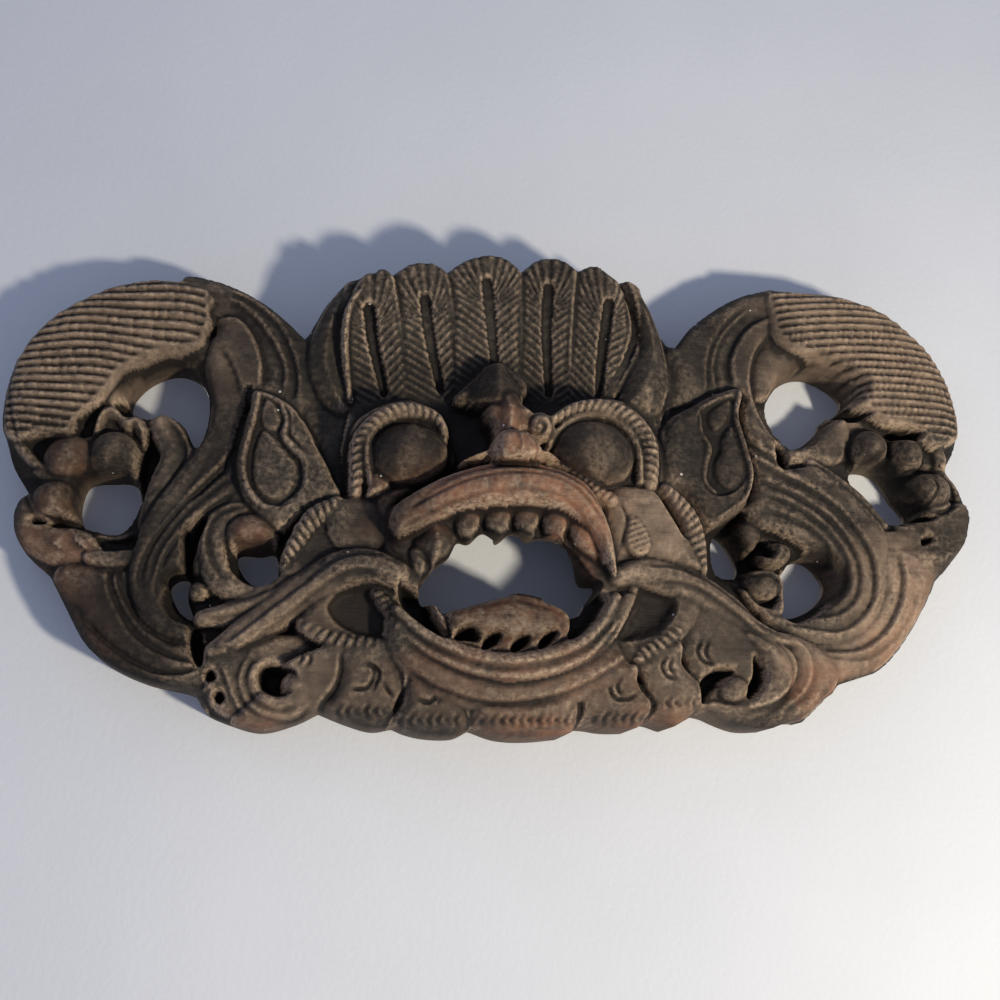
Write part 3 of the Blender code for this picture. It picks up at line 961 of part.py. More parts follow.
def add_panel():
    """The one carved block, with its back in the plane y = 0 and the hanging point at its origin."""
    name = "kirtimukha_panel"
    panel = bpy.data.objects.new(name, panel_mesh("drawn_panel"))
    bpy.context.scene.collection.objects.link(panel)
    drawn = panel.data
    panel.data = thinned(panel)
    panel.data.name = name
    bpy.data.meshes.remove(drawn)
    panel.data.materials.append(wood())
    return panel


clear_scene()
add_panel()
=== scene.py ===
"""Carved wooden panel of a monster's face between two pierced scroll wings, hung on a pale board."""
import math

import bpy
import numpy as np
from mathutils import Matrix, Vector
from mathutils.geometry import delaunay_2d_cdt
from mathutils.kdtree import KDTree


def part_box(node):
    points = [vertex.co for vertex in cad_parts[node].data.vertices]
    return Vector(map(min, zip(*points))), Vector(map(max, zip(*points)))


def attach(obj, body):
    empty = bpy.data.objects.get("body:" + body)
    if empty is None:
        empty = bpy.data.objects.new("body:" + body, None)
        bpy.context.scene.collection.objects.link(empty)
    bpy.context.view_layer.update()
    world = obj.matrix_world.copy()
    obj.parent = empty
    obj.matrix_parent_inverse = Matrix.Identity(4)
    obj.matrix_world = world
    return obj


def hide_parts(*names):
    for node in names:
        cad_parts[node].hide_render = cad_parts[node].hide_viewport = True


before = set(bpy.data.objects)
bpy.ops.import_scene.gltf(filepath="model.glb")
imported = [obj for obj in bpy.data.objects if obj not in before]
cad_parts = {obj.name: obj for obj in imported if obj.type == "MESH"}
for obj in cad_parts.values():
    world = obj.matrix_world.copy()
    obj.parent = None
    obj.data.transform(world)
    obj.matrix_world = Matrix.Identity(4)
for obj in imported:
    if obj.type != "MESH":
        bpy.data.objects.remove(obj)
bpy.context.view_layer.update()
panel_low, panel_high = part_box("kirtimukha_panel")


# The panel is one block of dark hardwood. It is drawn on a layout sheet of 1000 x 1000 units, as it is seen
# from low on its left, and every place of the sheet is carried from there to the flat plan of the block.
# Heights are layout heights above the back, and the tip of the nose has 84 of them.
SIGHT_DISTANCE = 1321.0      # units from the eye to the sheet
SIGHT_TURN = -8.0            # degrees the eye stands to the left
SIGHT_TILT = -15.0           # degrees it stands below
SHEET_CENTRE = 500.0
PER_UNIT = 0.56              # layout heights in one unit of the sheet
CURVE_STEP = 3.0             # units between the places of a smooth curve


def sight_axes():
    """Unit vectors of the layout's line of sight: towards the eye, to its right, and up."""
    turn, tilt = math.radians(SIGHT_TURN), math.radians(SIGHT_TILT)
    ct, st, cl, sl = math.cos(turn), math.sin(turn), math.cos(tilt), math.sin(tilt)
    back = np.array([st * cl, -ct * cl, sl])
    right = np.array([ct, st, 0.0])
    up = np.array([-sl * st, sl * ct, cl])
    return back, right, up


def spot(x, y, height):
    """Plan place, in layout units, of a layout point that is carved at a height above the back."""
    back, right, up = sight_axes()
    eye = back * SIGHT_DISTANCE
    u = (np.asarray(x, float) - SHEET_CENTRE) / SIGHT_DISTANCE
    v = (SHEET_CENTRE - np.asarray(y, float)) / SIGHT_DISTANCE
    ray = [-back[i] + right[i] * u + up[i] * v for i in range(3)]
    reach = (-np.asarray(height, float) / PER_UNIT - eye[1]) / ray[1]
    return eye[0] + reach * ray[0], eye[2] + reach * ray[2]


def curve(points, closed=False):
    """Smooth curve through rows of values; its first two columns are a place."""
    p = np.array(points, float)
    if closed:
        q = np.vstack([p[-1], p, p[:2]])
    else:
        q = np.vstack([2 * p[0] - p[1], p, 2 * p[-1] - p[-2]])
    out = []
    for a, b, c, d in zip(q[:-3], q[1:-2], q[2:-1], q[3:]):
        steps = max(1, int(np.hypot(*(c[:2] - b[:2])) / CURVE_STEP))
        s = (np.arange(steps) / steps)[:, None]
        bend = (2 * a - 5 * b + 4 * c - d) * s ** 2 + (3 * b - a - 3 * c + d) * s ** 3
        out.append(0.5 * (2 * b + (c - a) * s + bend))
    if not closed:
        out.append(p[-1:])
    return np.vstack(out)


def within(px, pz, ox, oz):
    """True for the plan points that lie inside a closed outline."""
    inner = np.zeros(px.shape, bool)
    for x1, z1, x2, z2 in zip(ox, oz, np.roll(ox, -1), np.roll(oz, -1)):
        if z1 != z2:
            crossed = (z1 > pz) != (z2 > pz)
            inner[crossed] ^= px[crossed] < (x2 - x1) * (pz[crossed] - z1) / (z2 - z1) + x1
    return inner


def nearest(px, pz, ox, oz):
    """Distance to a line, place along it in steps, side of it, and if the place is past an end."""
    best = np.full(px.shape, np.inf)
    place, side = np.zeros(px.shape), np.zeros(px.shape)
    past = np.zeros(px.shape, bool)
    last = len(ox) - 2
    for i in range(last + 1):
        dx, dz = ox[i + 1] - ox[i], oz[i + 1] - oz[i]
        length = dx * dx + dz * dz + 1e-12
        share = ((px - ox[i]) * dx + (pz - oz[i]) * dz) / length
        held = np.clip(share, 0, 1)
        gap = (px - ox[i] - held * dx) ** 2 + (pz - oz[i] - held * dz) ** 2
        near = gap < best
        best[near] = gap[near]
        place[near] = i + held[near]
        side[near] = np.sign((px - ox[i]) * dz - (pz - oz[i]) * dx)[near]
        past[near] = ((i == 0) & (share[near] < 0)) | ((i == last) & (share[near] > 1))
    return np.sqrt(best), place, side, past


# The carver works down from the front in layers. Each kind of work is a method: raised areas, rounded
# bars, domes, grooves, steps where one layer passes under the next, pits and rows of gouge strokes.
GROUND = 12.0                # wood left under the deepest sunk ground


def domed(t):
    """Round section of a bar; t runs from -1 to 1 across it, as for the next three."""
    return np.sqrt(np.clip(1 - t * t, 0, 1))


def flat(t):
    return np.clip(1 - np.abs(t) ** 5, 0, 1) ** 0.4


def keel(t):
    return 1 - np.abs(t) ** 1.2


def high_right(t):
    return np.sqrt(np.clip(1 - ((1 - t) / 2) ** 2, 0, 1))


def notch(t):
    """Sharp grooves between round ridges, once for each step of one."""
    f = 2 * (t - np.floor(t)) - 1
    return 1 - np.sqrt(np.clip(1 - f * f, 0, 1))


def run(places, width, height):
    """Rows of (x, y, half width, height), with the widths and heights spread along the places."""
    p = np.array(places, float)
    far = np.concatenate([[0], np.cumsum(np.hypot(*np.diff(p, axis=0).T))])
    far = far / far[-1]
    spread = []
    for value in (width, height):
        value = np.atleast_1d(value).astype(float)
        spread.append(np.interp(far, np.linspace(0, 1, len(value)), value))
    return np.column_stack([p, spread[0], spread[1]])


class Relief:
    """Heights above the back, in layout heights, at a set of plan places in layout units."""

    def __init__(self, px, pz):
        self.px, self.pz = px, pz
        self.h = np.full(px.shape, GROUND)
        self.back = np.zeros(px.shape)

    def around(self, ox, oz, pad):
        """Points in the box round a line."""
        wide = (self.px > ox.min() - pad) & (self.px < ox.max() + pad)
        return np.nonzero(wide & (self.pz > oz.min() - pad) & (self.pz < oz.max() + pad))[0]

    def inside(self, outline, height):
        """Points within a smooth closed outline, and how far each of them is from its edge."""
        p = curve(outline, closed=True)
        ox, oz = spot(p[:, 0], p[:, 1], height)
        where = self.around(ox, oz, 1)
        where = where[within(self.px[where], self.pz[where], ox, oz)]
        ring_x, ring_z = np.append(ox, ox[0]), np.append(oz, oz[0])
        return where, nearest(self.px[where], self.pz[where], ring_x, ring_z)[0]

    def lay(self, where, new, cover, sunk=False):
        """New heights where they stand over the old ones or, if sunk, where they lie under them."""
        old = self.h[where]
        mixed = np.minimum(old, new) if sunk else np.maximum(old, new)
        self.h[where] = np.where(cover, mixed, old)

    def fill(self, outline, height, drop=0.0, roll=4.0, lean=(0.0, 0.0), sharp=False):
        """Area with its top at a height, rounded down by drop over the roll at its edge."""
        p = np.array(outline, float) if sharp else curve(outline, closed=True)
        ox, oz = spot(p[:, 0], p[:, 1], height)
        where = self.around(ox, oz, 1)
        px, pz = self.px[where], self.pz[where]
        cover = within(px, pz, ox, oz)
        top = height + (lean[0] * (px - ox.mean()) + lean[1] * (pz - oz.mean())) * PER_UNIT
        if drop:
            gap = np.zeros(px.shape)
            ring_x, ring_z = np.append(ox, ox[0]), np.append(oz, oz[0])
            gap[cover] = nearest(px[cover], pz[cover], ring_x, ring_z)[0] * PER_UNIT
            top = top - drop * (1 - domed(1 - np.clip(gap / roll, 0, 1)))
        self.lay(where, top, cover)

    def stroke(self, rows, profile=domed, drop=10.0, sunk=False, cut=False, ribs=None):
        """Bar along a smooth line, with square ends if cut; ribs = (pitch in units, depth, slant)."""
        p = curve(rows)
        ox, oz = spot(p[:, 0], p[:, 1], p[:, 3])
        where = self.around(ox, oz, p[:, 2].max() + 1)
        px, pz = self.px[where], self.pz[where]
        gap, place, side, past = nearest(px, pz, ox, oz)
        i = np.clip(place.astype(int), 0, len(p) - 2)
        f = place - i
        half = np.maximum(p[i, 2] * (1 - f) + p[i + 1, 2] * f, 0.5)
        height = p[i, 3] * (1 - f) + p[i + 1, 3] * f
        t = side * gap / half
        cover = np.abs(t) < 1
        if cut:
            cover &= ~past
        new = height - drop * (1 - profile(np.clip(t, -1, 1)))
        if ribs:
            pitch, depth, slant = ribs
            far = np.concatenate([[0], np.cumsum(np.hypot(np.diff(ox), np.diff(oz)))])
            along = far[i] * (1 - f) + far[i + 1] * f + slant * side * gap
            new = new - depth * notch(along / pitch)
        self.lay(where, new, cover, sunk)

    def ball(self, x, y, across, height, up=None, turn=0.0, drop=None):
        """Dome on an ellipse."""
        up = up or across
        drop = across * PER_UNIT if drop is None else drop
        cx, cz = spot(x, y, height - drop / 2)
        reach = max(across, up)
        where = self.around(np.array([cx]), np.array([cz]), reach)
        dx, dz = self.px[where] - cx, self.pz[where] - cz
        c, s = math.cos(math.radians(turn)), math.sin(math.radians(turn))
        q = ((dx * c - dz * s) / across) ** 2 + ((dx * s + dz * c) / up) ** 2
        self.lay(where, height - drop * (1 - np.sqrt(np.clip(1 - q, 0, 1))), q < 1)

    def line(self, places, width, depth, height):
        """Groove of a width and a depth or, with a depth below nought, a bead."""
        p = curve(places)
        ox, oz = spot(p[:, 0], p[:, 1], height)
        reach = width / PER_UNIT
        where = self.around(ox, oz, reach * 2.5)
        gap, place = nearest(self.px[where], self.pz[where], ox, oz)[:2]
        ends = np.clip(np.minimum(place, len(p) - 1 - place) / 3 + 0.35, 0, 1)
        self.h[where] -= depth * ends * np.exp(-(gap / reach) ** 2)

    def cut(self, places, depth, reach, height, low=1):
        """Step where one layer passes under the next: low = 1 sinks its right side, -1 its left."""
        p = curve(places)
        ox, oz = spot(p[:, 0], p[:, 1], height)
        where = self.around(ox, oz, reach / PER_UNIT * 2.5)
        gap, place, side, past = nearest(self.px[where], self.pz[where], ox, oz)
        ends = np.clip(np.minimum(place, len(p) - 1 - place) / 4, 0, 1)
        down = gap * PER_UNIT * side * low
        sunk = np.clip((down + 0.6) / 1.8, 0, 1) * np.exp(-(np.clip(down, 0, None) / reach) ** 2)
        lip = 0.16 * np.exp(-((down + 1.4) / 1.5) ** 2)
        self.h[where] += depth * ends * (lip - sunk) * ~past

    def pit(self, outline, floor, wall=2.5, height=None):
        """Sunk area with steep walls."""
        where, gap = self.inside(outline, floor + 12 if height is None else height)
        old = self.h[where]
        rise = np.clip(1 - gap * PER_UNIT / wall, 0, 1) ** 2
        self.h[where] = np.minimum(old, floor + (old - floor) * rise)

    def hollow_back(self, outline, depth, wall=6.0):
        """Hollow cut into the flat back, with sloping walls."""
        where, gap = self.inside(outline, depth)
        deep = depth * np.clip(gap * PER_UNIT / wall, 0, 1)
        self.back[where] = np.maximum(self.back[where], deep)

    def gouged(self, outline, height, pitch, depth, across, bead, bead_depth):
        """Rows of ridges, each cut crosswise by short gouge strokes that change from row to row."""
        where, gap = self.inside(outline, height)
        px, pz = self.px[where], self.pz[where]
        fade = np.clip((gap - 4) / 4, 0, 1)
        rows = across(px, pz) / pitch
        row = np.floor(rows)
        strong = np.sin(px / 23 + 1.9 * np.sin(row * 1.3)) * np.cos(pz / 27 + px / 40)
        strong = np.clip(0.5 + 0.7 * strong, 0.1, 1)
        slip = px + 9 * np.sin(row * 2.4) + 3 * np.sin(px / 7 + row)
        slip = slip / (bead * (1 + 0.25 * np.sin(row * 1.7)))
        chips = (1 - (slip - np.floor(slip))) ** 3
        ridge = 0.28 * (1 + np.cos(2 * math.pi * rows)) + 0.44 * notch(rows)
        self.h[where] -= fade * (depth * ridge + bead_depth * strong * chips)

    def combed(self, outline, height, pitch, depth, phase):
        """Rows of round ridges in an area; phase gives, in units, how far a place is across them."""
        where, gap = self.inside(outline, height)
        fade = np.clip(gap / 3, 0.3, 1)
        self.h[where] -= depth * fade * notch(phase(self.px[where], self.pz[where]) / pitch)


# The left wing is a pierced scroll, cut lower than the face. A shell of gouged ridges fills its top, worn
# balls and lobes run down its edge, and strands sweep round the openings down to the lower curl.
def wings_ground(r):
    """Sunk ground from which both wings are carved."""
    r.fill([(-20, 250), (330, 250), (330, 560), (240, 760), (-20, 760)], 25, sharp=True)
    r.fill([(650, 250), (1000, 250), (1000, 760), (760, 760), (680, 560)], 25, sharp=True)
    r.fill([(300, 250), (680, 250), (700, 600), (640, 760), (300, 760), (290, 500)], 32, sharp=True)


def left_wing_shell(r):
    """Ridged shell that fills the upper left of the wing, with a plain band under it."""
    shell = [(208, 283), (170, 273), (120, 277), (72, 296), (40, 318), (14, 350), (0, 390), (-2, 425),
             (17, 438), (40, 431), (66, 432), (78, 417), (92, 405), (106, 390), (120, 371), (140, 359),
             (165, 351), (190, 347), (203, 341), (207, 330), (212, 318), (210, 300)]
    band = [(203, 339), (165, 349), (122, 366), (104, 390), (100, 404), (128, 403), (148, 392), (165, 384),
            (184, 380), (202, 384), (220, 380), (228, 356), (216, 334)]
    r.fill(band, 33, 4, 6)
    r.fill(shell, 43, 9, 17)
    r.gouged(shell, 40, 8.6, 3.6, lambda x, z: z + 0.0009 * (x + 385) ** 2 - 0.0016 * (x + 385) * (z - 120)
             + 1.3 * np.sin(x / 17 + z / 40), 11.5, 1.5)
    r.line([(16, 352), (10, 385), (12, 415), (18, 440)], 1.0, 1.6, 36)


def left_wing_side(r):
    """Balls, curling lobes and the cuffed strut down the left edge."""
    r.fill([(-5, 425), (40, 436), (72, 430), (100, 408), (136, 412), (150, 445), (148, 490), (140, 560),
            (60, 575), (10, 570), (0, 520), (10, 490)], 26, 3, 4)
    r.fill([(60, 436), (92, 432), (100, 460), (100, 488), (80, 502), (52, 486), (30, 470), (44, 462),
            (66, 466), (82, 452)], 33, 7, 7)
    r.pit([(19, 437), (44, 430), (70, 434), (84, 448), (60, 474), (40, 467), (26, 452)], 28, 6)
    r.ball(69, 457, 26, 41, 23, turn=-25, drop=17)
    r.stroke(run([(12, 395), (10, 420), (18, 442), (32, 460), (50, 470)], [5, 6, 6, 4], [36, 34, 33]),
             domed, 7)
    r.ball(56, 500, 24, 41, 21, drop=16)
    r.ball(113, 457, 25, 43, 28, drop=17)
    r.stroke(run([(95, 428), (101, 412), (110, 408), (119, 412), (127, 421), (134, 418), (141, 428),
                  (146, 441)], [5, 7, 6, 7, 4], [36, 38, 37]), keel, 7)
    r.pit([(76, 420), (92, 407), (103, 405), (97, 414), (90, 432), (78, 434)], 24)
    r.pit([(114, 405), (128, 401), (131, 412), (126, 420), (118, 411)], 17)
    r.pit([(139, 470), (147, 443), (153, 431), (163, 448), (169, 470), (163, 495), (150, 517), (141, 505)],
          14)
    r.fill([(20, 492), (34, 500), (48, 520), (80, 528), (98, 542), (98, 556), (70, 566), (40, 560),
            (12, 540), (8, 512)], 33, 7, 8)
    r.stroke(run([(40, 524), (62, 526), (82, 528)], 3.5, 20), flat, 2, sunk=True)
    r.stroke(run([(28, 494), (34, 508), (48, 520)], [3, 5, 3], [33, 35, 33]), keel, 4)
    r.stroke(run([(48, 533), (60, 539), (72, 548)], [4, 7, 5], [32, 35, 33]), high_right, 4)
    r.stroke(run([(72, 529), (84, 538), (96, 549)], [4, 7, 5], [32, 36, 34]), high_right, 5)
    r.pit([(97, 533), (116, 535), (133, 533), (133, 547), (99, 546)], 20)
    r.fill([(84, 550), (108, 549), (134, 548), (136, 563), (108, 567), (84, 562)], 36, 5, 3)


def left_wing_body(r):
    """Broad scroll body that sweeps from the strut round to the lower curls."""
    body = [(60, 560), (110, 562), (133, 566), (133, 592), (144, 614), (170, 633), (200, 642), (212, 660),
            (204, 716), (165, 700), (128, 686), (88, 660), (60, 622), (48, 585)]
    r.fill(body, 37, 11, 16)
    for places, depth in (([(107, 564), (108, 585), (116, 608), (132, 634), (152, 650), (176, 660),
                            (204, 665)], 3.4), ([(114, 566), (119, 590), (131, 612), (149, 632),
            (178, 648)], 2.6), ([(83, 620), (97, 637), (120, 656), (150, 672), (178, 675), (202, 668)],
                                3.2), ([(70, 600), (84, 628), (110, 655), (140, 672)], 1.4)):
        r.cut(places, depth, 3.0, 36, low=-1)


def left_leaf(r):
    """Pointed leaf between the two upper holes, split by a groove."""
    r.fill([(163, 409), (178, 415), (190, 430), (198, 448), (196, 465), (186, 484), (170, 503), (150, 530),
            (140, 545), (136, 520), (142, 492), (150, 470), (158, 450), (150, 432), (148, 417)], 35, 7, 7)
    r.cut([(163, 412), (175, 424), (184, 438), (187, 454), (182, 472), (168, 492), (150, 515)], 3.0, 4.0,
          34, low=1)


def left_strands(r):
    """Bundle of strands from the wing top, behind the ear leaf and round to the lower scroll."""
    neck = [(180, 300), (184, 270), (211, 274), (240, 282), (276, 300), (306, 330), (318, 352), (318, 380),
            (312, 404), (296, 414), (268, 396), (250, 400), (246, 430), (240, 462), (246, 500), (226, 505),
            (210, 512), (196, 526), (190, 545), (186, 566), (168, 582), (162, 598), (168, 614), (194, 630),
            (204, 640), (172, 638), (142, 622), (130, 596), (128, 566), (138, 540), (160, 512), (184, 482),
            (198, 455), (206, 428), (208, 405), (202, 384), (206, 350), (214, 322)]
    r.fill(neck, 37, 5, 8)
    r.stroke(run([(222, 350), (226, 380), (224, 408), (214, 436), (196, 464), (174, 492), (154, 518),
                  (142, 545), (136, 572), (140, 598), (156, 617), (184, 630)], [7, 10, 10, 8, 7, 6],
                 [34, 36, 38, 38, 38, 35]), domed, 4)
    for places, depth, reach, low in (([(206, 292), (214, 300), (210, 314), (213, 324), (204, 334),
            (206, 342)], 3.2, 5.0, -1), ([(226, 290), (256, 304), (280, 328), (294, 358), (298, 386),
            (293, 404)], 2.6, 4.5, 1), ([(224, 296), (250, 312), (272, 340), (284, 368), (282, 396)], 2.2,
            4.0, 1), ([(214, 318), (238, 319), (254, 338), (262, 366), (260, 390)], 4.0, 7.0, -1),
            ([(220, 344), (232, 362), (240, 384), (242, 400)], 1.6, 3.0, 1),
            ([(247, 396), (244, 416), (238, 438), (226, 460), (206, 482), (186, 500)], 3.0, 4.0, -1),
            ([(230, 460), (212, 475), (190, 495), (168, 520), (150, 545), (138, 572), (138, 590)], 2.4, 3.5,
             -1), ([(234, 474), (214, 488), (190, 508), (170, 530), (154, 555), (148, 582)], 1.8, 3.0, -1),
            ([(236, 490), (208, 508), (184, 528), (166, 552), (156, 580), (156, 600)], 2.4, 3.0, -1)):
        r.cut(places, depth, reach, 35, low=low)
    r.pit([(184, 536), (192, 532), (195, 552), (196, 578), (184, 582), (184, 556)], 15)
    r.stroke(run([(250, 388), (247, 412), (240, 436), (235, 462), (240, 488)], [2.5, 3.5, 2.5], 34), flat,
             1, sunk=True)


def left_scroll(r):
    """Open scroll round a ball beside the ear leaf."""
    r.fill([(262, 505), (236, 498), (212, 508), (198, 530), (196, 556), (206, 584), (230, 600), (262, 596),
            (268, 586), (244, 580), (230, 566), (226, 545), (232, 524), (250, 516)], 38, 7, 6)
    r.cut([(250, 505), (228, 507), (210, 520), (205, 540), (210, 562), (226, 584)], 2.0, 3.0, 38, low=-1)
    r.pit([(238, 512), (262, 514), (276, 530), (270, 552), (236, 553), (226, 540)], 26, 3, 40)
    r.ball(251, 533, 26, 44, 21, drop=15)
    r.ball(199, 563, 7, 34, 11, drop=6)
    r.ball(198, 591, 10, 35, 9, drop=7)
    r.pit([(200, 520), (190, 534), (190, 548), (197, 544), (203, 532), (208, 517)], 14, 2, 30)


def left_ear(r):
    """Broad leaf beside the left eye with a teardrop boss inside a raised rim."""
    leaf = [(255, 386), (285, 397), (303, 416), (318, 444), (333, 474), (342, 495), (318, 503), (296, 517),
            (279, 528), (256, 510), (240, 490), (235, 460), (243, 425), (249, 403)]
    r.fill(leaf, 45, 8, 7)
    r.pit([(260, 393), (276, 398), (290, 410), (292, 432), (304, 450), (309, 470), (300, 492), (284, 506),
           (262, 502), (246, 484), (246, 456), (252, 430), (256, 408)], 41, 2.2, 45)
    r.fill([(266, 397), (277, 406), (281, 420), (276, 430), (265, 428), (260, 414)], 44, 3, 3)
    r.fill([(261, 430), (272, 433), (286, 449), (297, 463), (295, 484), (283, 498), (266, 498), (253, 482),
            (252, 456)], 44, 4, 4)
    r.stroke(run([(282, 404), (287, 420), (284, 434), (294, 446), (305, 458), (308, 478), (300, 494),
                  (284, 505)], [3, 4, 5, 5, 3], [44, 46, 46, 44]), domed, 5)
    r.stroke(run([(258, 392), (254, 412), (247, 437), (242, 462), (247, 486), (262, 504), (282, 512)], 4,
                 [46, 47, 46, 45]), domed, 6)


def left_whisker(r):
    """Whisker that leaves the mouth corner and runs out over the wing to a curl."""
    r.stroke(run([(325, 562), (300, 574), (278, 586), (256, 600), (232, 610), (200, 616)],
                 [6, 10, 12, 13, 12, 8], [43, 43, 41, 38]), domed, 9)
    r.cut([(300, 578), (270, 592), (240, 602), (206, 606)], 2.2, 3.5, 40, low=1)
    r.cut([(296, 586), (264, 602), (236, 612), (204, 616)], 2.2, 3.5, 40, low=-1)
    r.stroke(run([(398, 570), (370, 562), (340, 567), (310, 584), (285, 600), (260, 618), (236, 635),
                  (212, 650)],
                 [14, 17, 19, 19, 18, 16, 14, 10], [60, 59, 55, 51, 48, 46, 44, 40]), domed, 13)
    r.cut([(384, 562), (360, 558), (335, 564), (306, 584), (280, 602), (250, 624), (222, 644)], 2.4, 4.0,
          50, low=1)
    r.cut([(378, 574), (350, 572), (322, 586), (292, 608), (262, 630), (232, 650)], 2.4, 4.0, 47, low=-1)


def left_curl(r):
    """Lower curl with its ball, ring knobs and hollow."""
    r.fill([(202, 652), (250, 636), (300, 634), (324, 660), (322, 700), (300, 724), (262, 732), (232, 720),
            (210, 706), (202, 690)], 37, 7, 8)
    r.pit([(256, 680), (258, 669), (268, 663), (286, 666), (298, 676), (294, 692), (278, 698), (262, 692)],
          17, 5, 38)
    for places, low in (([(250, 652), (242, 664), (238, 680), (246, 702), (262, 714), (290, 718),
                          (312, 704)], 1), ([(262, 655), (250, 668), (248, 684), (258, 700), (278, 709),
            (298, 704)], 1), ([(218, 662), (226, 680), (234, 702), (250, 718)], 1)):
        r.cut(places, 2.6, 3.5, 38, low=low)
    r.ball(300, 685, 18, 45, 15, drop=14)
    r.stroke(run([(266, 699), (282, 705), (300, 703), (316, 695)], [3, 4, 4, 3], [34, 36, 36, 34]), domed,
             5)
    r.pit([(206, 670), (212, 669), (216, 677), (210, 684), (204, 678)], 22, 2, 36)
    r.pit([(215, 691), (221, 690), (225, 698), (219, 704), (213, 698)], 22, 2, 36)
    r.stroke(run([(204, 690), (211, 685), (220, 686)], [3, 5, 3], [36, 38, 36]), domed, 4)
    r.pit([(190, 632), (200, 630), (204, 650), (200, 668), (191, 655)], 14, 2, 30)


# The right wing repeats the left one by eye, from the same block. It is more worn: its lower scroll is
# rubbed to a smooth face, and the balls and lumps at its edge are chipped and cracked.
def right_wing_shell(r):
    """Ridged shell of the right wing, with a plain band under it."""
    shell = [(768, 285), (800, 286), (845, 291), (890, 308), (928, 340), (950, 372), (962, 405), (964, 436),
             (940, 446), (927, 438), (908, 425), (886, 421), (865, 404), (852, 390), (843, 371), (815, 355),
             (795, 348), (779, 337), (772, 320)]
    band = [(772, 322), (779, 337), (796, 348), (828, 360), (850, 384), (856, 397), (848, 404), (833, 400),
            (818, 390), (800, 382), (782, 384), (768, 398), (756, 398), (748, 370), (756, 340)]
    r.fill(band, 33, 4, 6)
    r.fill(shell, 43, 9, 17)
    r.gouged(shell, 40, 7.9, 2.9, lambda x, z: z + 0.0008 * (x - 380) ** 2, 9.4, 1.6)
    r.combed([(848, 345), (905, 350), (928, 385), (920, 418), (888, 416), (858, 392)], 40, 6.3, 0.9,
             lambda x, z: x - 0.15 * z + 3 * np.sin(z / 8))


def right_wing_side(r):
    """Worn balls and lumps down the right edge, with the lower strut block."""
    r.fill([(846, 417), (880, 420), (930, 440), (965, 440), (972, 520), (950, 575), (880, 560), (884, 510),
            (880, 486), (850, 470)], 28, 3, 4)
    r.fill([(905, 505), (940, 500), (975, 505), (978, 535), (950, 580), (905, 560), (896, 530)], 34, 5, 6)
    r.pit([(828, 398), (850, 408), (868, 417), (848, 420), (836, 412)], 16, 2, 30)
    r.fill([(846, 417), (822, 425), (808, 443), (790, 450), (790, 464), (815, 464), (842, 462), (852, 440)],
           30, 4, 5)
    r.ball(871, 450, 21, 42, 23, drop=18)
    r.ball(907, 455, 19, 41, 22, drop=18)
    r.line([(890, 428), (891, 446), (889, 474)], 1.6, 5.0, 36)
    r.pit([(889, 432), (904, 429), (919, 434), (917, 441), (900, 440)], 16, 2, 32)
    r.stroke(run([(930, 442), (940, 450), (944, 464), (938, 478)], [6, 8, 6], [34, 35, 32]), domed, 8)
    r.ball(929, 491, 27, 41, 21, turn=-8, drop=18)
    r.line([(900, 484), (908, 472), (930, 467), (952, 474), (961, 492), (952, 508), (928, 514), (906, 510)],
           1.4, 4.5, 36)
    r.line([(850, 440), (853, 460), (868, 472), (886, 470)], 1.2, 3.5, 34)
    r.line([(934, 476), (938, 488), (932, 504)], 0.8, 2.0, 40)
    r.ball(925, 532, 16, 35, 12, drop=10)
    r.stroke(run([(905, 505), (925, 512), (946, 520), (958, 534)], [4, 6, 6, 5], [30, 33, 32]), domed, 7)
    r.pit([(905, 514), (922, 515), (936, 519), (920, 522), (906, 520)], 14, 2, 30)
    r.pit([(888, 541), (908, 542), (930, 536), (932, 542), (912, 549), (890, 547)], 22, 2, 32)
    r.pit([(883, 491), (893, 497), (905, 523), (896, 524), (887, 508)], 14, 2, 30)
    r.stroke(run([(878, 541), (895, 541), (913, 540)], 12, 34), flat, 7)
    r.stroke(run([(812, 462), (838, 480), (862, 500), (884, 524)], [7, 9, 8], [33, 34, 32]), domed, 7)
    r.line([(814, 466), (840, 486), (862, 506), (880, 526)], 0.8, 2.0, 32)


def right_wing_body(r):
    """Body of the lower scroll, worn to a smooth face."""
    body = [(880, 545), (965, 545), (945, 580), (920, 626), (902, 652), (874, 676), (835, 690), (790, 700),
            (776, 670), (778, 636), (830, 636), (862, 620), (880, 592)]
    r.fill(body, 37, 10, 15)
    for places, depth in (([(898, 550), (905, 576), (901, 604), (886, 632), (860, 650), (820, 652)], 3.0),
                          ([(922, 588), (912, 618), (894, 642), (866, 660), (820, 658)], 1.4)):
        r.cut(places, depth, 4.0, 36, low=1)


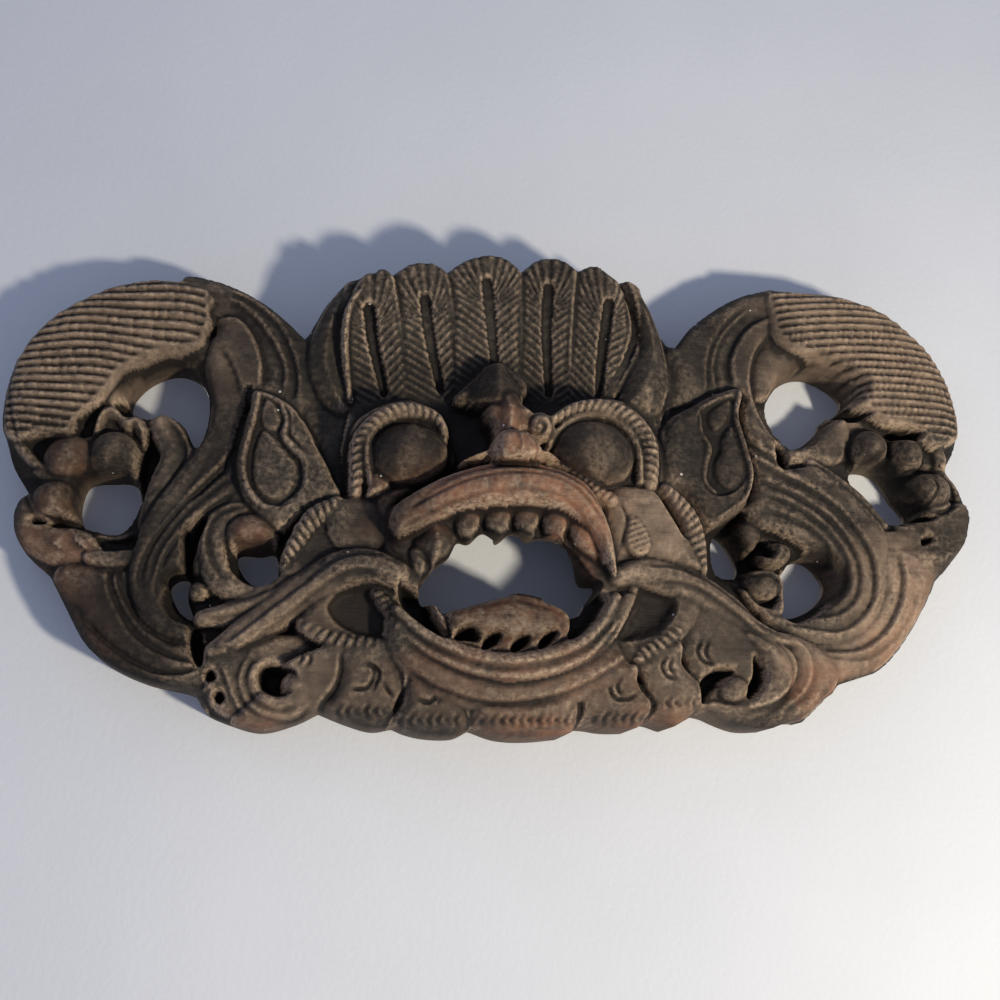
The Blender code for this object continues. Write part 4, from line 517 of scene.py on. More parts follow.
def right_strands(r):
    """Strands that leave the right ear and coil round the lower curl."""
    sheet = [(770, 288), (778, 320), (762, 345), (754, 372), (758, 398), (769, 424), (782, 442), (794, 464),
             (818, 464), (843, 482), (868, 505), (888, 530), (892, 560), (889, 592), (880, 618), (860, 638),
             (832, 644), (800, 640), (770, 624), (762, 606), (780, 612), (800, 620), (818, 614), (832, 600),
             (834, 584), (826, 564), (806, 546), (780, 532), (757, 524), (742, 510), (752, 496), (757, 474),
             (750, 446), (742, 418), (744, 392), (720, 392), (694, 404), (662, 404), (662, 360), (684, 328),
             (712, 308), (744, 290)]
    r.fill(sheet, 37, 5, 8)
    for places, depth, reach, low in (
            ([(744, 306), (726, 322), (712, 342), (706, 364), (706, 396)], 2.0, 3.0, -1),
            ([(752, 310), (734, 324), (720, 342), (713, 366), (716, 392)], 2.0, 3.0, -1),
            ([(770, 318), (752, 326), (738, 342), (730, 364), (734, 390)], 3.4, 6.0, 1),
            ([(768, 336), (756, 350), (750, 372), (752, 396), (762, 420), (780, 444)], 2.0, 4.0, -1),
            ([(744, 392), (742, 410), (746, 432), (758, 448), (780, 460), (806, 470)], 3.0, 4.0, 1),
            ([(752, 456), (772, 468), (806, 486), (832, 503), (854, 526), (872, 556), (876, 590),
              (864, 616), (838, 632),
              (790, 626)], 2.6, 4.0, 1),
            ([(757, 478), (790, 492), (820, 510), (844, 534), (860, 566), (858, 596), (840, 614),
              (808, 620)], 2.2, 3.5, 1),
            ([(762, 492), (796, 506), (826, 528), (846, 556), (850, 584), (838, 604)], 2.0, 3.0, 1),
            ([(764, 508), (792, 518), (818, 534), (836, 558), (840, 584)], 2.0, 3.0, 1)):
        r.cut(places, depth, reach, 35, low=low)
    r.pit([(777, 440), (786, 448), (790, 468), (780, 470), (774, 456)], 14, 2, 30)
    r.pit([(713, 512), (741, 514), (739, 536), (724, 534)], 13, 2, 28)
    r.pit([(722, 538), (748, 536), (776, 550), (782, 578), (760, 592), (736, 576)], 11, 2, 24)
    r.ball(749, 530, 15, 32, 27, turn=20, drop=11)
    r.ball(776, 555, 18, 35, 13, turn=-20, drop=11)
    r.pit([(760, 545), (768, 541), (776, 549), (772, 558), (762, 554)], 16, 2, 30)


def right_ear(r):
    """Broad leaf beside the right eye, the left one's fellow but worn."""
    leaf = [(746, 386), (720, 389), (695, 402), (670, 417), (661, 442), (661, 482), (685, 494), (704, 520),
            (713, 528), (738, 513), (750, 502), (757, 474), (750, 446), (742, 418)]
    r.fill(leaf, 45, 9, 8)
    r.pit([(734, 396), (712, 402), (698, 414), (700, 436), (706, 452), (700, 474), (712, 494), (732, 494),
           (748, 476), (744, 446), (736, 418)], 41, 2.5, 45)
    r.fill([(731, 398), (720, 402), (710, 412), (709, 424), (716, 432), (727, 424), (733, 410)], 44, 4, 4)
    r.fill([(733, 424), (722, 438), (721, 450), (715, 464), (718, 480), (732, 490), (744, 482), (748, 466),
            (741, 446)], 45, 5, 5)
    r.stroke(run([(700, 414), (702, 432), (710, 446), (706, 462), (705, 480), (716, 492)], [3, 4, 5, 5, 3],
                 [44, 47, 46, 44]), domed, 6)
    r.stroke(run([(741, 392), (738, 414), (746, 444), (753, 472), (746, 496), (718, 518)], 4, [46, 47, 45]),
             domed, 6)


def right_whisker(r):
    """Whisker from the right mouth corner to the lower right curl."""
    r.stroke(run([(620, 574), (650, 570), (680, 578), (708, 592), (734, 610), (756, 628), (780, 640),
                  (815, 646)],
                 [12, 16, 18, 19, 18, 15, 11, 6], [59, 58, 55, 51, 48, 45, 41, 36]), domed, 13)
    r.cut([(640, 570), (670, 570), (695, 577), (720, 589), (757, 614), (800, 631)], 2.6, 4.0, 50, low=-1)
    r.cut([(650, 582), (680, 584), (704, 592), (737, 613), (770, 636), (810, 644)], 2.6, 4.0, 47, low=1)
    r.ball(764, 586, 19, 36, 14, drop=9)
    r.stroke(run([(752, 572), (768, 571), (782, 580), (787, 598), (777, 612), (758, 606), (744, 590)],
                 [3, 5, 6, 5, 3], [34, 36, 34]), domed, 6)


def right_curl(r):
    """Lower right curl with a hollow and a ball at its tip."""
    r.fill([(745, 640), (770, 630), (804, 636), (838, 660), (842, 688), (820, 712), (796, 730), (760, 740),
            (718, 730), (700, 722), (700, 702), (740, 700), (760, 684), (762, 656)], 41, 7, 8,
           lean=(-0.05, 0.05))
    r.pit([(702, 692), (705, 677), (720, 668), (736, 671), (728, 680), (716, 690), (706, 702)], 26, 2.5, 42)
    r.stroke(run([(752, 634), (772, 648), (782, 668), (776, 688), (760, 704), (738, 712), (716, 706)],
                 [8, 12, 14, 13, 10, 6], [46, 46, 45, 42]), domed, 6)
    r.cut([(775, 640), (790, 652), (796, 670), (788, 690), (768, 704), (738, 712)], 3.0, 4.0, 38, low=-1)
    r.cut([(790, 636), (806, 652), (810, 674), (802, 694), (780, 712)], 2.0, 3.5, 36, low=-1)
    r.pit([(756, 654), (765, 665), (768, 680), (761, 692), (750, 699), (751, 688), (757, 674)], 24, 2.5, 44)
    r.ball(735, 689, 15, 47, 13, drop=10)


# The crest is a fan of five feathers that stands up from the brow between two plain rims. Each feather has
# a sunk rib, raised edges and barbs cut with a small V gouge.
def barbs(foot, top, height):
    """Barbs that rise outwards from both sides of a feather's rib and fan out over its top."""
    fx, fz = spot(foot[0], foot[1], height)
    tx, tz = spot(top[0], top[1], height)
    length = math.hypot(tx - fx, tz - fz)
    ux, uz = (tx - fx) / length, (tz - fz) / length

    def phase(x, z):
        along = (x - fx) * ux + (z - fz) * uz
        across = np.abs((x - fx) * uz - (z - fz) * ux)
        above = np.clip(along - length * 0.8, 0, None)
        turn = np.arctan2(across, above + 1e-6)
        straight = along - 0.75 * across
        fan = length * 0.8 + (turn - math.pi / 2) * 26 * -1 - 0.75 * across * (turn / (math.pi / 2))
        return np.where(along < length * 0.8, straight, fan)
    return phase


def crest(r):
    """Fan of five broad feathers standing above the brow between two plain rims."""
    fan = [(345, 280), (392, 272), (442, 266), (520, 262), (575, 266), (616, 276), (640, 290), (640, 360),
           (612, 404), (545, 404), (500, 400), (456, 402), (404, 402), (372, 404), (345, 404), (338, 330)]
    r.fill(fan, 43, 2, 4, lean=(0, 0.16), sharp=True)
    feathers = {
        "a": ([(345, 412), (343, 340), (350, 300), (366, 277), (390, 271), (397, 300), (404, 340),
               (412, 410)], 45),
        "b": ([(408, 410), (398, 300), (393, 277), (415, 265), (444, 270), (451, 300), (456, 340),
               (462, 410)], 46),
        "c": ([(460, 408), (452, 300), (447, 273), (478, 259), (512, 261), (521, 275), (521, 330),
               (522, 408)], 48),
        "d": ([(519, 410), (520, 330), (521, 276), (545, 260), (575, 269), (573, 310), (570, 350),
               (568, 410)], 46),
        "e": ([(570, 410), (572, 310), (577, 274), (600, 267), (616, 284), (628, 318), (626, 352),
               (600, 406)], 45),
    }
    ribs = {
        "a": [(384, 396), (373, 345), (369, 312)],
        "b": [(440, 392), (429, 335), (425, 302)],
        "c": [(496, 388), (491, 325), (487, 285)],
        "d": [(548, 396), (546, 335), (548, 291)],
        "e": [(597, 398), (602, 350), (608, 306)],
    }
    for name in sorted(feathers):
        outline, height = feathers[name]
        r.fill(outline, height, 6, 5, lean=(0, 0.28))
        foot, top = np.array(ribs[name][0]), np.array(ribs[name][-1])
        r.combed(outline, height - 2, 8.0, 2.3, barbs(foot, top, height))
    for name in sorted(ribs):
        floors = [feathers[name][1] - 3.8 + 0.157 * (337 - y) for _, y in ribs[name]]
        r.stroke(run(ribs[name], [3.5, 5, 5.5], floors), flat, 0.5, sunk=True)
    for edge in ([(410, 396), (400, 325), (392, 276)], [(460, 396), (451, 300), (445, 272)],
                 [(521, 396), (521, 320), (520, 272)], [(569, 400), (571, 330), (575, 271)]):
        r.stroke(run(edge, [2.5, 3], [36, 56]), domed, 3)
    r.stroke(run([(617, 284), (630, 310), (634, 338), (622, 370), (604, 396)], 4, 39), flat, 2, sunk=True)


def crest_rims(r):
    """Plain flanks that close the fan at both sides and fall behind the brows to the cheeks."""
    r.fill([(305, 342), (330, 330), (350, 350), (352, 400), (350, 470), (345, 500), (330, 500), (318, 450),
            (300, 412)], 34, 4, 5)
    r.fill([(640, 350), (668, 356), (674, 400), (664, 440), (664, 484), (650, 484), (650, 430), (630, 402)],
           36, 4, 5)
    r.fill([(388, 270), (362, 270), (340, 282), (322, 305), (308, 340), (308, 372), (330, 404), (352, 404),
            (346, 360), (347, 320), (356, 298), (374, 282)], 47, 12, 20, lean=(0, 0.05))
    r.stroke(run([(376, 280), (358, 292), (349, 307), (345, 332), (346, 360), (350, 398)], [3, 4, 4, 3],
                 [54, 54, 51, 44]), domed, 6)
    r.fill([(616, 276), (634, 279), (652, 300), (668, 340), (674, 380), (664, 410), (640, 412), (622, 400),
            (630, 368), (641, 340), (636, 312), (624, 292)], 48, 12, 18, lean=(0, 0.05))
    r.cut([(669, 352), (671, 385), (664, 412), (662, 450)], 2.0, 4.0, 38, low=-1)


# Forehead, nose and eyes are the highest relief and stand out from a sunk field. Two stepped bosses lead
# down to a square nose, and each bulging eye has a lid and a brow cut like a rope.
def brow_field(r):
    """Sunk field under the fan, from which forehead, nose and eyes stand out."""
    r.fill([(350, 404), (404, 400), (520, 398), (600, 402), (655, 412), (664, 470), (645, 500), (345, 500),
            (340, 450)], 37, sharp=True)


def forehead(r):
    """Two stepped bosses over the nose, each with a centre edge."""
    r.fill([(455, 392), (476, 373), (499, 357), (514, 366), (530, 380), (526, 392), (510, 400), (484, 402),
            (462, 400)], 55, 9, 8)
    r.stroke(run([(499, 360), (500, 380), (499, 400)], [12, 26, 26], [59, 66, 66]), keel, 13, cut=True)
    r.fill([(486, 404), (505, 397), (522, 399), (536, 408), (530, 418), (512, 428), (496, 422)], 66, 10, 7)
    r.stroke(run([(508, 396), (512, 410), (510, 428)], [14, 18, 12], [68, 71, 70]), keel, 9)


def nose(r):
    """Square flared nose with a thin wing at each nostril."""
    r.fill([(499, 427), (520, 424), (536, 430), (546, 446), (542, 456), (520, 459), (500, 457), (493, 446)],
           80, 14, 5)
    r.fill([(506, 430), (530, 431), (538, 446), (534, 455), (506, 454), (501, 442)], 84, 4, 7)
    r.stroke(run([(500, 447), (484, 452), (463, 458)], [4, 4, 2], [70, 70, 66]), domed, 5)
    r.stroke(run([(540, 450), (550, 453), (560, 458)], [4, 4, 2], [72, 70, 66]), domed, 5)
    r.line([(520, 427), (523, 440), (522, 456)], 0.9, -1.2, 84)


def eyes(r):
    """Bulging eyes, each in a lid and under a roped brow that ends in a volute."""
    r.fill([(540, 440), (552, 414), (590, 396), (630, 400), (662, 440), (664, 490), (610, 505), (560, 478)],
           46, 8, 8)
    r.ball(595, 451, 41, 69, 34, turn=14, drop=22)
    r.stroke(run([(546, 452), (556, 432), (570, 420), (590, 412), (612, 414), (630, 429), (640, 450),
                  (642, 480)], [3, 4, 4.5, 4, 3], [58, 61, 60, 54]), domed, 5)
    r.stroke(run([(552, 418), (575, 405), (600, 402), (624, 409), (643, 425), (653, 448), (653, 482)],
                 [5, 7, 8.5, 9.5, 9.5, 8], [64, 66, 65, 60, 54]), domed, 8, ribs=(7.4, 3.6, 0.4))
    r.ball(541, 424, 15, 67, drop=8)
    r.line([(548, 437), (555, 427), (550, 415), (539, 412), (531, 419), (532, 430), (541, 432), (545, 425),
            (540, 421)], 1.1, 3.2, 66)
    r.stroke(run([(548, 458), (566, 467), (584, 478), (600, 490), (613, 498)], [3, 4, 6, 9],
                 [58, 60, 60, 58]), domed, 8, ribs=(6.2, 2.6, 0.3))
    r.fill([(452, 440), (444, 412), (410, 396), (372, 406), (350, 430), (348, 490), (380, 496), (430, 482),
            (456, 462)], 46, 8, 8)
    r.ball(409, 451, 38, 67, 31, turn=-10, drop=21)
    r.stroke(run([(446, 438), (436, 424), (420, 415), (400, 413), (382, 419), (369, 434), (367, 456),
                  (372, 486)], [3, 4, 4.5, 4, 3], [58, 61, 60, 54]), domed, 5)
    r.stroke(run([(446, 428), (436, 413), (412, 405), (390, 408), (370, 422), (359, 440), (357, 466),
                  (356, 490)], [5, 7, 8, 8.5, 8, 7], [64, 66, 65, 58, 52]), domed, 8, ribs=(7.4, 3.6, -0.4))
    r.fill([(374, 470), (382, 474), (392, 484), (382, 492), (366, 494), (370, 482)], 56, 6, 4)


# The mouth is cut right through the block. The upper lip arches over a row of pegs and two fangs, and the
# lower one is a ridged bowl that holds a plate of teeth and the tongue.
def upper_lip(r):
    """Arched upper lip with a crease along it."""
    lip = [(390, 518), (396, 500), (416, 486), (446, 471), (482, 460), (516, 457), (550, 461), (580, 473),
           (597, 488), (608, 508), (616, 535), (620, 572), (604, 548), (590, 526), (574, 511), (545, 500),
           (500, 499), (474, 506), (450, 514), (420, 526), (398, 533)]
    r.fill(lip, 70, 9, 7)
    r.stroke(run([(404, 514), (430, 501), (470, 487), (512, 481), (552, 484), (582, 498), (602, 525),
                  (612, 556)], [10, 14, 17, 18, 16, 12, 7], [68, 74, 79, 80, 78, 72, 66]), domed, 10)
    r.line([(412, 504), (440, 490), (475, 477), (512, 472), (550, 475), (580, 488), (602, 512)], 1.0, 1.5,
           76)
    r.line([(410, 520), (440, 506), (478, 494), (512, 490), (548, 492), (576, 505), (598, 530)], 0.9, 1.0,
           76)


def teeth(r):
    """Rounded pegs under the lip, two fangs, and the plate of lower teeth with the tongue."""
    r.fill([(396, 590), (398, 556), (412, 528), (440, 508), (480, 496), (520, 492), (572, 500), (606, 530),
            (622, 575),
            (610, 600), (596, 585), (570, 552), (530, 545), (480, 548), (450, 566), (430, 590)], 53, 3, 3)
    r.stroke(run([(410, 534), (440, 524), (480, 511), (520, 506), (556, 512), (584, 530), (604, 562)],
                 [6, 9, 10, 10, 9, 6], [56, 58, 60, 58, 56]), domed, 6)
    for x, y, tip in ((468, 516, 540), (499, 512, 538), (528, 512, 537), (557, 515, 541)):
        peg = [(x, y - 8), (x + 1, (y + tip) / 2), (x + 3, tip - 3)]
        r.stroke(run(peg, [14, 13, 6], [64, 65, 60]), domed, 8)
    r.stroke(run([(578, 520), (588, 536), (597, 556)], [10, 11, 4], [62, 64, 58]), domed, 8)
    r.stroke(run([(436, 524), (438, 545), (433, 566)], [19, 17, 5], [62, 66, 58]), keel, 9)
    r.stroke(run([(402, 530), (404, 548), (406, 566)], [14, 14, 8], [54, 54, 50]), domed, 8)
    r.stroke(run([(418, 552), (420, 566), (420, 577)], [8, 8, 3], [58, 58, 54]), domed, 6)
    plate = [(446, 612), (470, 603), (492, 597), (512, 592), (532, 593), (546, 598), (562, 604), (572, 613),
             (573, 628), (566, 644), (540, 655), (480, 655), (448, 642)]
    r.fill(plate, 56, 6, 5)
    r.fill([(452, 612), (484, 604), (514, 598), (544, 604), (566, 615), (558, 632), (516, 640), (462, 633)],
           60, 7, 9)
    for pit in ([(453, 640), (458, 630), (468, 627), (475, 631), (478, 642), (464, 641)],
                [(481, 651), (484, 640), (492, 634), (500, 636), (496, 645)],
                [(510, 654), (513, 643), (521, 637), (529, 638), (524, 648)],
                [(537, 651), (540, 640), (548, 633), (557, 632), (550, 644)],
                [(567, 641), (574, 628), (575, 614), (586, 609), (592, 618), (583, 634)]):
        r.pit(pit, 40, 1.6, 50)
    r.pit([(398, 585), (425, 598), (442, 612), (449, 640), (430, 632), (405, 612)], 26, 3, 45)
    r.stroke(run([(430, 602), (442, 618), (449, 638)], [3, 5, 3], [48, 52, 50]), domed, 6)


def lower_lip(r):
    """Ridged bowl under the mouth, which falls away to the lobes of the chin."""
    bowl = [(392, 600), (420, 620), (455, 640), (512, 650), (578, 636), (606, 610), (622, 588), (638, 590),
            (634, 612), (622, 634), (628, 652), (638, 668), (630, 680), (580, 702), (512, 712), (450, 704),
            (408, 676), (384, 640)]
    r.fill(bowl, 57, 10, 18)
    r.stroke(run([(397, 608), (425, 632), (455, 648), (485, 657), (512, 660), (545, 656), (578, 643),
                  (602, 624), (618, 596)], [5, 7, 8, 8, 8, 7, 5], [58, 62, 64, 62, 58]), domed, 5)
    r.stroke(run([(400, 625), (430, 647), (460, 660), (490, 668), (514, 671), (550, 666), (586, 652),
                  (612, 630), (630, 598)], [6, 8, 9, 9, 9, 8, 6], [56, 60, 62, 60, 56]), domed, 3)
    for places, depth in (([(402, 634), (430, 654), (470, 671), (510, 678), (552, 673), (592, 655),
                            (624, 618)], 2.6), ([(402, 620), (430, 640), (470, 658), (510, 664), (550, 659),
            (586, 645), (612, 618)], 2.0), ([(408, 664), (440, 684), (480, 697), (520, 699), (566, 690),
            (604, 672), (636, 650)], 2.4)):
        r.cut(places, depth, 4.0, 60, low=1)


# Chin and cheeks close the face below and at the sides. The chin is a row of lobes with comma marks and
# nicked feet, and the cheeks are plain lumps between edges cut like a rope.
def chin(r):
    """Row of broad lobes below the lip, each with a comma mark and a nicked foot."""
    lobes = {
        "one": [(250, 740), (270, 690), (305, 655), (342, 652), (341, 672), (334, 688), (320, 704),
                (322, 730)],
        "two": [(318, 735), (322, 704), (336, 686), (342, 650), (380, 640), (406, 662), (407, 684),
                (390, 720), (392, 745)],
        "three": [(391, 745), (391, 720), (404, 698), (406, 662), (440, 680), (462, 696), (470, 720),
                  (467, 750)],
        "four": [(467, 750), (470, 720), (463, 698), (490, 696), (540, 696), (574, 688), (580, 716),
                 (574, 750)],
        "five": [(574, 745), (580, 716), (574, 690), (600, 676), (635, 664), (642, 686), (655, 706),
                 (643, 745)],
        "six": [(642, 745), (655, 706), (643, 684), (638, 660), (680, 642), (686, 664), (708, 692),
                (694, 735)],
        "seven": [(693, 735), (706, 698), (688, 672), (680, 644), (686, 622), (700, 606), (738, 618),
                  (762, 645), (762, 684), (740, 704), (712, 735)],
    }
    r.fill([(250, 745), (262, 690), (300, 655), (390, 640), (600, 680), (650, 680), (690, 696), (700, 745)],
           42, 5, 7, lean=(0, 0.22))
    heights = {"one": 40, "two": 46, "three": 50, "four": 52, "five": 50, "six": 46, "seven": 41}
    for name in sorted(lobes):
        r.fill(lobes[name], heights[name], 5.5, 8, lean=(0, 0.20))
    for edge in ([(341, 655), (340, 672), (334, 688), (320, 706), (319, 722)],
                 [(406, 660), (407, 682), (397, 706), (391, 730)], [(462, 698), (469, 714), (468, 735)],
                 [(574, 692), (580, 712), (575, 732)], [(636, 668), (643, 688), (654, 706), (644, 726)],
                 [(681, 648), (688, 670), (708, 694), (694, 720)]):
        r.line(edge, 1.0, 2.5, 42)
        r.cut(edge, 2.5, 5.0, 42, low=1 if edge[0][0] > 500 else -1)
    for mark in ([(365, 664), (374, 669), (373, 679), (366, 688), (352, 689)],
                 [(369, 663), (379, 672), (374, 689)], [(428, 684), (436, 688), (435, 697), (428, 703),
            (416, 700)], [(436, 686), (442, 694), (437, 703)], [(299, 648), (303, 656), (298, 664)],
                 [(308, 650), (311, 658), (306, 666)], [(612, 680), (608, 690), (614, 699), (626, 700),
            (635, 695)], [(617, 679), (615, 689), (620, 697)],
                 [(703, 640), (700, 650), (706, 659), (716, 663)], [(710, 641), (708, 651), (714, 660)],
                 [(664, 658), (661, 667), (667, 676), (676, 679)], [(671, 659), (669, 667), (674, 675)],
                 [(384, 684), (388, 690), (393, 696)]):
        r.line(mark, 0.9, 3.2, 46)
    for x1, x2, y in ((340, 392, 711), (402, 460, 721), (474, 574, 722), (596, 656, 719), (668, 698, 703)):
        for i, x in enumerate(range(x1, x2, 9)):
            tall = 3.5 + 1.5 * math.sin(x1 + 2.3 * i)
            r.line([(x + 1, y - tall), (x - 2, y), (x + 1, y + tall)], 1.2, 3.6 - 1.2 * (i % 3 == 2), 42)


def cheeks(r):
    """Lumps and roped edges that close the face at both sides of the mouth."""
    r.fill([(300, 540), (320, 505), (352, 492), (400, 484), (420, 490), (398, 505), (392, 535), (402, 575),
            (380, 585), (340, 570), (296, 580), (280, 570)], 44, 6, 6)
    r.fill([(330, 502), (352, 496), (376, 498), (392, 512), (394, 534), (376, 548), (340, 547), (327, 530)],
           49, 4, 9)
    r.fill([(385, 488), (415, 486), (400, 500), (392, 520), (394, 545), (404, 575), (390, 580), (384, 545),
            (386, 530), (376, 505)], 52, 6, 6)
    r.stroke(run([(338, 500), (320, 510), (307, 522), (298, 536), (290, 550), (284, 562)],
                 [7, 10, 10, 9, 6], [50, 52, 50, 46]), domed, 8, ribs=(7.6, 3.8, 0.3))
    r.fill([(610, 486), (655, 488), (672, 508), (684, 527), (704, 566), (665, 562), (632, 560), (614, 562),
            (606, 520)], 54, 6, 12)
    r.fill([(632, 513), (644, 522), (652, 538), (650, 551), (637, 555), (627, 544), (626, 528)], 57, 4, 3)
    r.line([(622, 503), (628, 520), (622, 545)], 0.8, 1.8, 55)
    r.combed([(632, 513), (644, 522), (652, 538), (650, 551), (637, 555), (627, 544), (626, 528)], 55, 5.6,
             2.6, lambda x, z: z - 0.4 * x)
    r.stroke(run([(668, 486), (682, 500), (694, 518), (700, 540), (702, 566)], [6, 9, 10, 11, 10],
                 [52, 54, 53, 50]), domed, 8, ribs=(7.6, 3.8, -0.3))
    r.fill([(300, 628), (316, 590), (345, 576), (400, 578), (420, 600), (420, 640), (380, 652), (340, 648)],
           46, 6, 8)
    r.pit([(338, 591), (326, 606), (336, 624), (360, 636), (386, 636), (392, 620), (376, 592), (352, 586)],
          40, 4, 46)
    r.stroke(run([(376, 590), (388, 606), (400, 624), (410, 642)], [6, 8, 6], [50, 54, 56]), domed, 6,
             ribs=(6.8, 3.4, 0.2))
    r.stroke(run([(304, 622), (325, 634), (350, 642), (380, 646)], [8, 10, 9], [46, 50, 51]), domed, 7,
             ribs=(8.2, 4.2, 0.2))
    r.fill([(612, 590), (640, 574), (690, 590), (704, 612), (672, 650), (630, 664), (596, 652), (612, 620)],
           49, 6, 8)
    r.pit([(636, 592), (652, 583), (667, 587), (678, 600), (676, 616), (660, 634), (636, 642), (618, 640),
           (630, 615)], 42, 8, 48)
    r.stroke(run([(636, 586), (628, 604), (618, 622), (606, 644)], [5, 7, 5], [54, 56, 56]), domed, 5,
             ribs=(6.8, 3.2, -0.2))
    r.stroke(run([(688, 604), (680, 624), (664, 641), (642, 654)], [8, 10, 9], [48, 51, 52]), domed, 7,
             ribs=(7.6, 4.0, -0.2))


# All of it is carved one layer over another, from the ground up, so the later parts stand in front. Behind
# the upper teeth the back is hollowed, which sets the teeth clear of the wall.
MOUTH_HOLLOW = 46.0          # depth of the hollow behind the upper teeth
THINNEST_WALL = 6.0          # least wood left between that hollow and the front


def carve(px, pz):
    """Whole relief, from the ground up."""
    r = Relief(px, pz)
    for part in (wings_ground, left_wing_body, left_wing_shell, left_wing_side, left_leaf, left_strands,
                 right_wing_body, right_wing_shell, right_wing_side, right_strands, left_scroll, left_ear,
                 right_ear, crest, crest_rims, brow_field, chin, cheeks, left_curl, right_curl,
                 left_whisker, right_whisker, lower_lip, teeth, upper_lip, eyes, forehead, nose):
        part(r)
    r.hollow_back([(404, 572), (408, 540), (430, 516), (470, 500), (520, 494), (570, 500), (602, 530),
                   (616, 570), (600, 592), (560, 560), (500, 550), (440, 580)], MOUTH_HOLLOW)
    r.back = np.clip(np.minimum(r.back, r.h - THINNEST_WALL), 0, None)
    return r


# The block is sawn to its outline and pierced with nine openings, all with walls that run straight back.
# A line of the sheet lies on the front edge of a wall that faces away, and on the back edge of one that
# faces the eye.
FACING_BLEND = 0.06          # how softly an edge passes from its back to its front line
FACING_PASSES = 8
RIM_HEIGHT = 31.0            # height of the walls' top edge along the outline
CREST_RIM = 50.0             # the same along the top of the crest
OPENING_EDGE = 24.0          # the same round the openings of the wings
MOUTH_EDGE = 56.0            # the same round the mouth
OUTLINE = {
    "right wing": [(672, 352), (695, 325), (735, 300), (780, 291), (830, 293), (875, 306), (915, 333),
                   (943, 367), (957, 405), (959, 442), (948, 468)],
    "right lumps": [(948, 468), (962, 487), (969, 512), (966, 540), (950, 564), (936, 581)],
    "right foot": [(936, 581), (927, 606), (911, 637), (886, 667), (850, 681), (834, 686)],
    "right curl": [(834, 686), (827, 699), (816, 713), (802, 723), (784, 723)],
    "lobe seven": [(784, 723), (762, 731), (735, 733), (712, 726), (692, 715)],
    "lobe six": [(692, 715), (676, 725), (658, 731), (642, 724)],
    "lobe five": [(642, 724), (622, 733), (597, 734), (574, 729)],
    "lobe four": [(574, 729), (556, 739), (522, 743), (492, 741), (467, 732)],
    "lobe three": [(467, 732), (450, 740), (425, 740), (405, 736), (391, 730)],
    "lobe two": [(391, 730), (370, 733), (345, 726), (318, 715)],
    "left curl": [(318, 715), (295, 726), (262, 734), (230, 726), (208, 715), (196, 696)],
    "left foot": [(196, 696), (150, 686), (112, 668), (84, 642), (66, 608), (50, 576)],
    "left lumps": [(50, 576), (28, 556), (14, 532), (14, 507), (26, 490)],
    "left wing": [(26, 490), (10, 460), (4, 420), (14, 370), (36, 332), (68, 304), (110, 286), (165, 278),
                  (212, 281), (255, 300), (285, 322), (305, 341)],
    "left rim": [(305, 341), (318, 319), (331, 296), (348, 279), (366, 272), (374, 274)],
    "feather one": [(374, 274), (383, 269), (392, 275)],
    "feather two": [(392, 275), (412, 265), (432, 265), (447, 273)],
    "feather three": [(447, 273), (470, 261), (497, 259), (520, 272)],
    "feather four": [(520, 272), (540, 261), (560, 262), (576, 271)],
    "feather five": [(576, 271), (596, 267), (616, 281)],
    "right rim": [(616, 281), (632, 281), (647, 304), (660, 335), (672, 352)],
}
OPENINGS = {
    "left upper": [(131, 412), (150, 389), (180, 378), (205, 389), (210, 412), (196, 447), (184, 427),
                   (164, 413), (148, 417)],
    "left lower": [(90, 490), (118, 485), (138, 487), (139, 506), (122, 531), (98, 531), (82, 524)],
    "left slit": [(171, 591), (183, 580), (191, 582), (188, 600), (193, 619), (180, 613)],
    "left gap": [(238, 558), (262, 558), (276, 557), (278, 579), (262, 587), (244, 577)],
    "mouth": [(418, 582), (432, 568), (449, 556), (458, 540), (470, 541), (484, 530), (499, 537),
              (514, 531), (529, 536), (545, 536), (561, 540), (578, 554), (592, 573), (605, 583),
              (594, 604), (575, 611), (556, 601), (515, 592), (485, 598), (454, 606), (430, 600)],
    "right upper": [(768, 402), (778, 386), (800, 382), (822, 391), (839, 406), (836, 416), (822, 423),
                    (812, 438), (795, 448), (774, 427)],
    "right middle": [(848, 473), (872, 481), (888, 504), (905, 525), (884, 522), (864, 497)],
    "right lower": [(784, 572), (795, 562), (812, 574), (821, 592), (808, 612), (784, 615)],
    "right slit": [(713, 535), (724, 549), (737, 578), (717, 572)],
}


def carried(points, rim, hole):
    """Plan ring of an outline: where its wall faces the eye, the line lies on the back edge."""
    p = np.array(points, float)
    back = sight_axes()[0] * SIGHT_DISTANCE
    ox, oz = spot(p[:, 0], p[:, 1], 0)
    tx, tz = np.roll(ox, -1) - np.roll(ox, 1), np.roll(oz, -1) - np.roll(oz, 1)
    turning = np.sum(ox * np.roll(oz, -1) - oz * np.roll(ox, -1))
    way = math.copysign(1.0, turning) * (-1 if hole else 1)
    size = np.hypot(tx, tz) + 1e-9
    facing = (way * tz / size * (back[0] - ox) - way * tx / size * (back[2] - oz)) / SIGHT_DISTANCE
    share = np.clip(0.5 - facing / FACING_BLEND, 0, 1)
    for _ in range(FACING_PASSES):
        share = (np.roll(share, 1) + share + np.roll(share, -1)) / 3
    return np.column_stack(spot(p[:, 0], p[:, 1], rim * share))


def resampled(ring, step):
    """Ring with even steps between its places."""
    loop = np.vstack([ring, ring[:1]])
    far = np.concatenate([[0], np.cumsum(np.hypot(*np.diff(loop, axis=0).T))])
    count = max(8, int(round(far[-1] / step)))
    at = np.linspace(0, far[-1], count, endpoint=False)
    return np.column_stack([np.interp(at, far, loop[:, 0]), np.interp(at, far, loop[:, 1])])


